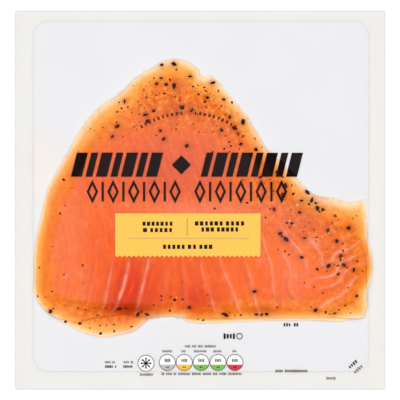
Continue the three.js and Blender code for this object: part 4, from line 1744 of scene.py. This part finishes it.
class Print:
    """Plain print on the film: blocks, bars, a panel and discs, with nothing to read."""

    FILM_LIFT: ClassVar[float] = 0.14
    LAYER: ClassVar[float] = 0.05
    CELL: ClassVar[float] = 1.0
    BOLD_ROW: ClassVar[Place] = (13.3, 26.9)
    BOLD_GAP: ClassVar[float] = 2.0
    LEAN: ClassVar[float] = 3.4
    LIGHT_ROW: ClassVar[Place] = (-1.9, 11.6)
    STROKE: ClassVar[float] = 1.25
    RIM: ClassVar[Place] = (-0.12, 0.22)
    DISC: ClassVar[float] = 4.5
    HOLE: ClassVar[float] = 0.05
    SHORT_ONES: ClassVar[float] = 0.45
    SHORT: ClassVar[float] = 0.78
    THIN: ClassVar[float] = 0.3
    VARIED: ClassVar[float] = 0.05

    def __init__(self, film: Film) -> None:
        """Print on one film."""
        self._film = film
        self._parts: dict[Ink, list[tuple[Array, list[Array]]]] = {ink: [] for ink in Ink}

    def _sheet(self, ink: Ink, x: Array, y: Array, layer: int = 0, wrap: bool = False) -> None:
        """Lay a grid of points on the film as a thin closed layer of ink.

        Args:
            ink: Its ink.
            x: Places across the pack.
            y: Places up the pack.
            layer: Its layer of ink.
            wrap: Whether the columns close on themselves.
        """
        lower = self._film.height(x, y) + self.FILM_LIFT + layer * self.LAYER
        upper = np.stack([x, y, lower + self.LAYER * 0.8], axis=-1)
        self._parts[ink].append(Mesher.slab(np.stack([x, y, lower], axis=-1), upper, wrap))

    def bar(self, ink: Ink, bar: Bar, layer: int = 0) -> None:
        """Print a filled bar.

        Args:
            ink: Its ink.
            bar: The bar.
            layer: Its layer of ink.
        """
        columns = max(2, round((bar.right - bar.left) / self.CELL) + 1)
        rows = max(2, round((bar.high - bar.low) / self.CELL) + 1)
        x, y = np.meshgrid(np.linspace(bar.left, bar.right, columns), np.linspace(bar.low, bar.high, rows))
        middle_x, middle_y = (bar.left + bar.right) / 2, (bar.low + bar.high) / 2
        cosine, sine = math.cos(math.radians(bar.turn)), math.sin(math.radians(bar.turn))
        turned_x = middle_x + (x - middle_x) * cosine - (y - middle_y) * sine
        turned_y = middle_y + (x - middle_x) * sine + (y - middle_y) * cosine
        self._sheet(ink, turned_x, turned_y, layer)

    def ring(self, ink: Ink, x: float, y: float, inner: float, outer: float, layer: int = 0) -> None:
        """Print a ring.

        Args:
            ink: Its ink.
            x: Its middle across the pack.
            y: Its middle up the pack.
            inner: Inner radius.
            outer: Outer radius.
            layer: Its layer of ink.
        """
        angle = np.arange(40) * TURN / 40
        radius = np.linspace(inner, outer, 3)[:, None]
        self._sheet(ink, x + radius * np.cos(angle), y + radius * np.sin(angle), layer, True)

    def disc(self, x: float, y: float) -> None:
        """Print a white disc with a thin dark rim."""
        self.ring(Ink.WHITE, x, y, self.HOLE, self.DISC)
        self.ring(Ink.SMALL, x, y, self.DISC + self.RIM[0], self.DISC + self.RIM[1], 2)

    def segment(self, ink: Ink, x: float, y: float, chord: float) -> None:
        """Print the part of a disc below a chord: rows from the chord to the arc.

        Args:
            ink: Its ink.
            x: Middle of the disc across the pack.
            y: Middle of the disc up the pack.
            chord: Height of the chord over the middle.
        """
        half = math.acos(-chord / self.DISC)
        angle = np.linspace(-math.pi / 2 - half, -math.pi / 2 + half, 25)
        arc_x, arc_y = self.DISC * np.cos(angle), self.DISC * np.sin(angle)
        share = np.linspace(0.0, 1.0, 5)[:, None]
        self._sheet(ink, x + arc_x * np.ones_like(share), y + arc_y + (chord - arc_y) * share, 1)

    @staticmethod
    def spans(left: float, right: float, gap: float, widths: Sequence[float]) -> list[Place]:
        """Share out a row among blocks.

        Args:
            left: Where the row starts.
            right: Where it ends.
            gap: Room between two blocks.
            widths: Their shares of the rest.

        Returns:
            Start and end of each block.
        """
        room = right - left - gap * (len(widths) - 1)
        spans, start = [], left
        for width in widths:
            end = start + room * width / sum(widths)
            spans.append((start, end))
            start = end + gap
        return spans

    def leaning(self, left: float, right: float, widths: Sequence[float]) -> None:
        """Print a row of bold bars that lean over: their upper ends stand a set length further on.

        Args:
            left: Where the row starts.
            right: Where it ends.
            widths: Shares of the row that the bars take.
        """
        low, high = self.BOLD_ROW
        up = np.linspace(0.0, 1.0, 15)[:, None]
        for start, end in self.spans(left, right - self.LEAN, self.BOLD_GAP, widths):
            across = np.linspace(start, end, max(3, round(end - start)))[None, :]
            self._sheet(Ink.TITLE, across + self.LEAN * up, low + (high - low) * up * np.ones_like(across))

    def lozenges(self, left: float, right: float, count: int) -> None:
        """Print a row of outlined lozenges with a thin upright bar between each two.

        Args:
            left: Where the row starts.
            right: Where it ends.
            count: How many lozenges.
        """
        low, high = self.LIGHT_ROW
        pitch = (right - left + 3.0) / count
        for index in range(count):
            middle = left + (index + 0.5) * pitch - 1.5
            self.lozenge(middle, (low + high) / 2.0, pitch / 2.0 - 2.6, (high - low) / 2.0)
            if index < count - 1:
                bar = middle + pitch / 2.0
                upright = Bar(bar - self.STROKE / 2.0, low + 1.2, bar + self.STROKE / 2.0, high - 1.2)
                self.bar(Ink.LIGHT, upright)

    def lozenge(self, x: float, y: float, half_x: float, half_y: float) -> None:
        """Print an outlined lozenge: a strip round the points where |x| / a + |y| / b is 1.

        Args:
            x: Its middle across the pack.
            y: Its middle up the pack.
            half_x: Half its width, a.
            half_y: Half its height, b.
        """
        share = np.arange(40) / 40.0
        corner_x = np.interp(share, (0.0, 0.25, 0.5, 0.75, 1.0), (1.0, 0.0, -1.0, 0.0, 1.0))
        corner_y = np.interp(share, (0.0, 0.25, 0.5, 0.75, 1.0), (0.0, 1.0, 0.0, -1.0, 0.0))
        inward = self.STROKE * math.hypot(half_x, half_y) / (half_x * half_y)
        scale = np.array([1.0 - inward, 1.0 - inward / 2.0, 1.0])[:, None]
        self._sheet(Ink.LIGHT, x + half_x * corner_x * scale, y + half_y * corner_y * scale, 0, True)

    def letters(self, ink: Ink, left: float, middle: float, count: int, pitch: float, height: float,
                layer: int = 0, turn: float = 0.0) -> None:
        """Print a word's place as small upright blocks of uneven height.

        Args:
            ink: Its ink.
            left: Where the row starts.
            middle: Height of the row's middle line at its start.
            count: How many blocks.
            pitch: From one block to the next.
            height: Height of the tallest block.
            layer: Its layer of ink.
            turn: Slope of the row in degrees.
        """
        cosine, sine = math.cos(math.radians(turn)), math.sin(math.radians(turn))
        for index in range(count):
            tall = chance(left * 7.0 + middle + index) > self.SHORT_ONES
            half = height / 2.0 * (1.0 if tall else self.SHORT)
            width = pitch * (self.THIN + self.VARIED * chance(left + middle * 3.0 + index))
            along = (index + 0.5) * pitch
            x, y = left + along * cosine, middle + along * sine
            self.bar(ink, Bar(x - width, y - half, x + width, y + half, turn), layer)

    def title(self) -> None:
        """Two rows of blocks where the product's title stands."""
        self.leaning(-73.1, -20.9, (6.5, 4.0, 6.5, 4.0, 6.5, 4.0, 6.5))
        self.bar(Ink.TITLE, Bar(-14.4, 16.2, -6.8, 23.8, 45.0))
        self.leaning(0.3, 58.3, (4.0, 6.5, 4.0, 6.5, 4.0, 6.5, 4.0, 6.5))
        self.lozenges(-65.2, -9.8, 5)
        self.lozenges(-4.4, 50.3, 5)

    def arc(self) -> None:
        """Small blocks on an arc over the title."""
        radius, centre_x, centre_y = 49.2, -6.6, 0.1
        for index in range(22):
            if index in (10, 11):
                continue
            turn = 32.5 - index * 65.0 / 21.0
            angle = math.radians(90.0 + turn)
            x, y = centre_x + radius * math.cos(angle), centre_y + radius * math.sin(angle)
            width = 0.8 + 0.5 * chance(70 + index)
            self.bar(Ink.ARC, Bar(x - width / 2, y - 0.9, x + width / 2, y + 0.9, turn))

    def panel(self) -> None:
        """Warm yellow panel with a pinked lower edge, a divider, a dotted line and word bars."""
        left, right, top, low = -48.0, 34.1, -7.4, -31.2
        teeth, depth = 31, 0.95
        across = np.linspace(0.0, 1.0, teeth * 8 + 1)
        notch = depth * (0.5 - 0.5 * np.cos(across * teeth * TURN))
        share = np.linspace(0.0, 1.0, 24)[:, None]
        x = left + (right - left) * across * np.ones_like(share)
        y = (low - notch) + (top - low + notch) * share
        self._sheet(Ink.PANEL, x, y)
        self.bar(Ink.FAINT, Bar(-7.5, -19.9, -7.15, -10.0), 1)
        dots = np.linspace(-40.7, 26.8, 62)
        for dot in dots:
            self.bar(Ink.FAINT, Bar(dot, -21.65, dot + 0.5, -21.25), 1)
        for left, right, low, high, shares in (
                (-32.6, -15.5, -14.4, -12.1, (1,)), (-32.4, -15.7, -18.0, -15.7, (1, 5)),
                (-3.0, 25.0, -14.3, -11.9, (6, 4)), (0.5, 21.6, -17.7, -15.3, (3, 5)),
                (-21.1, 6.9, -27.5, -25.1, (5, 2, 3))):
            self._raised_words(left, right, low, high, shares)

    def _raised_words(self, left: float, right: float, low: float, high: float,
                      shares: Sequence[float]) -> None:
        """Print word bars on top of the panel, each cut into small uneven blocks.

        Args:
            left: Where the row starts.
            right: Where it ends.
            low: Its lower edge.
            high: Its upper edge.
            shares: Shares of the row that the words take.
        """
        for start, end in self.spans(left, right, 1.5, shares):
            count = max(1, round((end - start) / 2.6))
            pitch = (end - start + 0.7) / count
            for index in range(count):
                block = (pitch - 0.6) * (0.68 + 0.32 * chance(start * 5.0 + low + index))
                middle = start + (index + 0.5) * pitch - 0.35
                self.bar(Ink.TITLE, Bar(middle - block / 2.0, low, middle + block / 2.0, high), 1)

    def discs(self) -> None:
        """Row of small discs with coloured feet, and a frost star beside them."""
        chord, y = -1.2, -92.0
        colours = (Ink.GREY, Ink.AMBER, Ink.GREEN, Ink.GREEN, Ink.RED)
        labels = ((-21.5, -16.0), (-10.7, -8.2), (-3.6, 4.0), (7.4, 12.3), (18.2, 20.8))
        for index, (colour, label) in enumerate(zip(colours, labels)):
            x = -18.6 + index * 9.58
            self.disc(x, y)
            self.segment(colour, x, y, chord)
            self.letters(Ink.TITLE, x - 1.7, y + 1.2, 4, 0.85, 1.9, 1)
            self.letters(Ink.TITLE, x - 0.9, y - 2.7, 2, 0.9, 1.0, 2)
            self.letters(Ink.FAINT, label[0], -85.6, round((label[1] - label[0]) / 0.8), 0.8, 1.3)
        star_x, star_y = -30.7, -92.4
        self.disc(star_x, star_y)
        for index in range(4):
            arm = Bar(star_x - 2.5, star_y - 0.3, star_x + 2.5, star_y + 0.3, index * 45.0)
            self.bar(Ink.TITLE, arm, 1 + index % 2)
        for index in range(8):
            angle = index * TURN / 8
            x, y_dot = star_x + 2.6 * math.cos(angle), star_y + 2.6 * math.sin(angle)
            self.bar(Ink.TITLE, Bar(x - 0.45, y_dot - 0.45, x + 0.45, y_dot + 0.45, 45.0), 2)

    def small_print(self) -> None:
        """Word bars in the places of the small print."""
        rows = (
            (Ink.TITLE, 13.0, -77.1, (4,), 1.75, 3.1), (Ink.FAINT, -8.7, -82.8, (4, 3, 4, 8), 0.8, 1.4),
            (Ink.FAINT, -54.1, -91.8, (4, 2), 0.85, 1.3), (Ink.TITLE, -54.1, -94.3, (5, 1), 0.95, 1.4),
            (Ink.FAINT, -43.5, -91.8, (4, 2), 0.8, 1.3), (Ink.TITLE, -43.7, -94.3, (6,), 0.9, 1.4),
            (Ink.FAINT, -34.3, -98.9, (9,), 0.85, 1.4),
            (Ink.FAINT, -22.0, -98.5, (2, 4, 2, 8, 6, 6, 3, 5, 9), 0.86, 1.4),
            (Ink.TITLE, 47.1, -70.6, (3, 2), 1.45, 1.8), (Ink.SMALL, 42.6, -96.8, (4, 12), 1.08, 1.5),
            (Ink.FAINT, 71.4, -101.0, (5,), 1.1, 1.6))
        for ink, left, middle, counts, pitch, height in rows:
            start = left
            for count in counts:
                self.letters(ink, start, middle, count, pitch, height)
                start += (count + 1) * pitch
        self.ring(Ink.TITLE, 22.3, -77.1, 1.35, 1.8)
        self.letters(Ink.SMALL, 84.3, -95.1, 4, 1.55, 1.9, 0, 42.0)
        self.letters(Ink.BROWN, 87.3, -97.9, 4, 1.55, 1.8, 0, 42.0)

    def build(self) -> dict[Ink, Piece]:
        """Lay out the print and build one piece for each ink."""
        self.title()
        self.arc()
        self.panel()
        self.discs()
        self.small_print()
        pieces = {}
        for ink, parts in self._parts.items():
            if parts:
                points, faces = Mesher.join(parts)
                pieces[ink] = Mesher.build(f"print_{ink.name.lower()}_ink", points, faces, smooth=False)
        return pieces


@dataclass(frozen=True)
class Studio:
    """Pale floor, soft lights and the camera over the pack."""

    lens: float = 300.0
    view_width: float = 226.8
    centre: Place = (-0.085, 0.14)
    face_height: float = 1.5
    sensor: float = 36.0
    floor_half: float = 3000.0
    floor_drop: float = 0.05
    surround: float = 0.28
    side_lights: ClassVar[tuple[Place, ...]] = ((135, 2.2), (45, 1.9), (225, 1.9), (315, 1.7))
    high_lights: ClassVar[tuple[Place, ...]] = ((0, 8.2), (90, 8.2), (180, 8.2), (270, 8.2))

    def floor(self) -> Piece:
        """Plain white floor under the pack.

        Returns:
            The floor.
        """
        square = np.array([[-1.0, -1.0], [1.0, -1.0], [1.0, 1.0], [-1.0, 1.0]]) * self.floor_half
        corners = np.column_stack([square, np.full(4, -self.floor_drop)])
        floor = Mesher.build("floor", corners, [np.array([[0, 1, 2, 3]])])
        material, bench, shader = new_material("Floor")
        cloud = bench.noise(bench.place(), 0.002, 1.0)
        bench.fill(shader, Base_Color=bench.blend(cloud, srgb(253, 253, 253), srgb(255, 255, 255)),
                   Roughness=0.9, Specular_IOR_Level=0.0)
        floor.data.materials.append(material)
        return floor

    def camera(self) -> Piece:
        """Camera straight over the pack, with the top of the face at the top of the view.

        Returns:
            The camera.
        """
        data = bpy.data.cameras.new("Camera")
        data.lens = self.lens
        data.sensor_width = self.sensor
        camera = bpy.data.objects.new("Camera", data)
        distance = self.view_width * self.lens / data.sensor_width
        camera.location = np.array([*self.centre, self.face_height + distance]) * MM
        bpy.context.scene.collection.objects.link(camera)
        bpy.context.scene.camera = camera
        return camera

    def lights(self) -> None:
        """Hang square soft lights round the pack and over it, each of which faces the pack and isn't
        seen itself, in an even pale surround. A row gives their turns in degrees and powers, and
        their distance, height and side in metres."""
        for label, lights, distance, height, side in (("side", self.side_lights, 1.1, 1.5, 1.2),
                                                      ("high", self.high_lights, 0.55, 2.2, 1.0)):
            for turn, energy in lights:
                data = bpy.data.lights.new(f"{label}_light_{turn}", "AREA")
                data.energy = energy
                data.size = side
                light = bpy.data.objects.new(data.name, data)
                angle = math.radians(turn)
                light.location = (distance * math.cos(angle), distance * math.sin(angle), height)
                light.rotation_euler = (0.0, math.atan2(distance, height), angle)
                light.visible_camera = False
                bpy.context.scene.collection.objects.link(light)
        world = bpy.data.worlds.new("Surround")
        world.use_nodes = True
        NodeBench(world.node_tree).fill(find_node(world, "ShaderNodeBackground"),
                                        Color=(1.0, 1.0, 1.0, 1.0), Strength=self.surround)
        bpy.context.scene.world = world

    def build(self) -> None:
        """Set up the studio and show colours as they are."""
        self.floor()
        self.camera()
        self.lights()
        bpy.context.scene.view_settings.view_transform = "Standard"


@dataclass
class SalmonPack:
    """The whole pack: its sheets, fish, pepper, film and print."""

    groups: dict[str, Tree] = field(default_factory=dict)

    def dress(self, piece: Piece, material: Material, slot: str, *nodes: str) -> None:
        """Give a new piece its material and body, and hide the CAD nodes that it stands for.

        Args:
            piece: The piece.
            material: Its material.
            slot: Its slot; not used.
            nodes: The CAD nodes.
        """
        piece.data.materials.append(material)
        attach(piece, "root")
        if nodes:
            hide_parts(*nodes)
        LOG.info("%s: %d points, %d faces", piece.name, len(piece.data.vertices), len(piece.data.polygons))

    def sheets(self) -> None:
        """Give the CAD backing film and card their stock."""
        finishes = {
            "backing_film": StockFinish("BackingFilm", (228, 227, 223), 0.42, 0.02, (232, 227, 221),
                                        Oval(98, -10, 5, 160), (105.0, 107.5)),
            "card": StockFinish("CoatedCard", (232, 232, 235), 0.6, 0.03, (241, 233, 228),
                                Oval(-91, 20, 16, 26), (120.0, 120.0))}
        for node, finish in finishes.items():
            piece = bpy.data.objects[node]
            material = finish.make(self.groups["stock"])
            piece.data.materials.clear()
            piece.data.materials.append(material)
            LOG.info("%s: %s", node, material.name)

    def fish(self, stack: Stack) -> None:
        """Build the four slices and the pepper.

        Args:
            stack: Heights and outlines.
        """
        muscle = MuscleField(FAT_LINES)
        top = FleshFinish("SalmonTop")
        lower = FleshFinish("SalmonLower", rim=(255, 184, 92), shoulder=(252, 146, 40))
        materials = {finish.name: finish.make(self.groups["flesh"]) for finish in (top, lower)}
        for level in Level:
            finish, slot, *counts = ((top, "salmon", 620, 92) if level is Level.TOP
                                     else (lower, "salmon_edge", 420, 40))
            cut = Slice(level, f"slice_{level.name.lower()}", *counts)
            self.dress(cut.build(stack, muscle), materials[finish.name], slot, cut.node)
        self.pepper(stack)

    def pepper(self, stack: Stack) -> None:
        """Build the pepper in three colours.

        Args:
            stack: Heights and outlines.
        """
        pepper = Pepper(stack)
        black = PepperFinish("PepperBlack", (18, 5, 1), (104, 42, 14)).make()
        brown = PepperFinish("PepperBrown", (112, 36, 8), (206, 96, 30)).make()
        tan = PepperFinish("PepperHusk", (238, 170, 96), (252, 224, 178)).make()
        kinds = (
            ("pepper_black", pepper.blacks, Level.TOP, black, 21),
            ("pepper_brown", pepper.browns, Level.TOP, brown, 22),
            ("pepper_husk", pepper.husks, Level.TOP, tan, 23),
            ("pepper_black_on_bottom", BOTTOM_BLACK, Level.BOTTOM, black, 24),
            ("pepper_brown_on_bottom", BOTTOM_BROWN, Level.BOTTOM, brown, 25),
            ("pepper_black_on_second", SECOND_BLACK, Level.SECOND, black, 26))
        for name, flakes, level, material, seed in kinds:
            piece = pepper.build(name, flakes, partial(stack.height_at, level), seed)
            self.dress(piece, material, "salmon" if level is Level.TOP else "salmon_edge")

    def film(self, stack: Stack) -> Film:
        """Build the clear film.

        Args:
            stack: Heights and outlines.

        Returns:
            The film.
        """
        card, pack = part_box("card"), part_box("backing_film")
        corners = (tuple(np.array(corner[:2]) / MM) for box in (card, pack) for corner in box)
        film = Film(stack, *corners, pack[1][2] / MM)
        self.dress(film.build(), ClearFilmFinish().make(self.groups["ripple"]), "clear_film", "clear_film")
        return film

    def print(self, film: Film) -> None:
        """Build the plain print, each ink as a piece of its own.

        Args:
            film: The film that it lies on.
        """
        for ink, piece in Print(film).build().items():
            finish = InkFinish(f"Ink{ink.name.title()}", ink.value)
            self.dress(piece, finish.make(self.groups["ripple"]), "clear_film")

    def build(self) -> None:
        """Build every piece in order."""
        self.groups = {"flesh": FleshGroup().build(), "ripple": GroupBuilder.ripple(),
                       "stock": GroupBuilder.paper()}
        stack = Stack.from_frame()
        self.sheets()
        self.fish(stack)
        self.print(self.film(stack))


def main() -> None:
    """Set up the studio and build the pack."""
    logging.basicConfig(level=logging.INFO, format="%(message)s")
    Studio().build()
    SalmonPack().build()


if __name__ == "__main__":
    main()
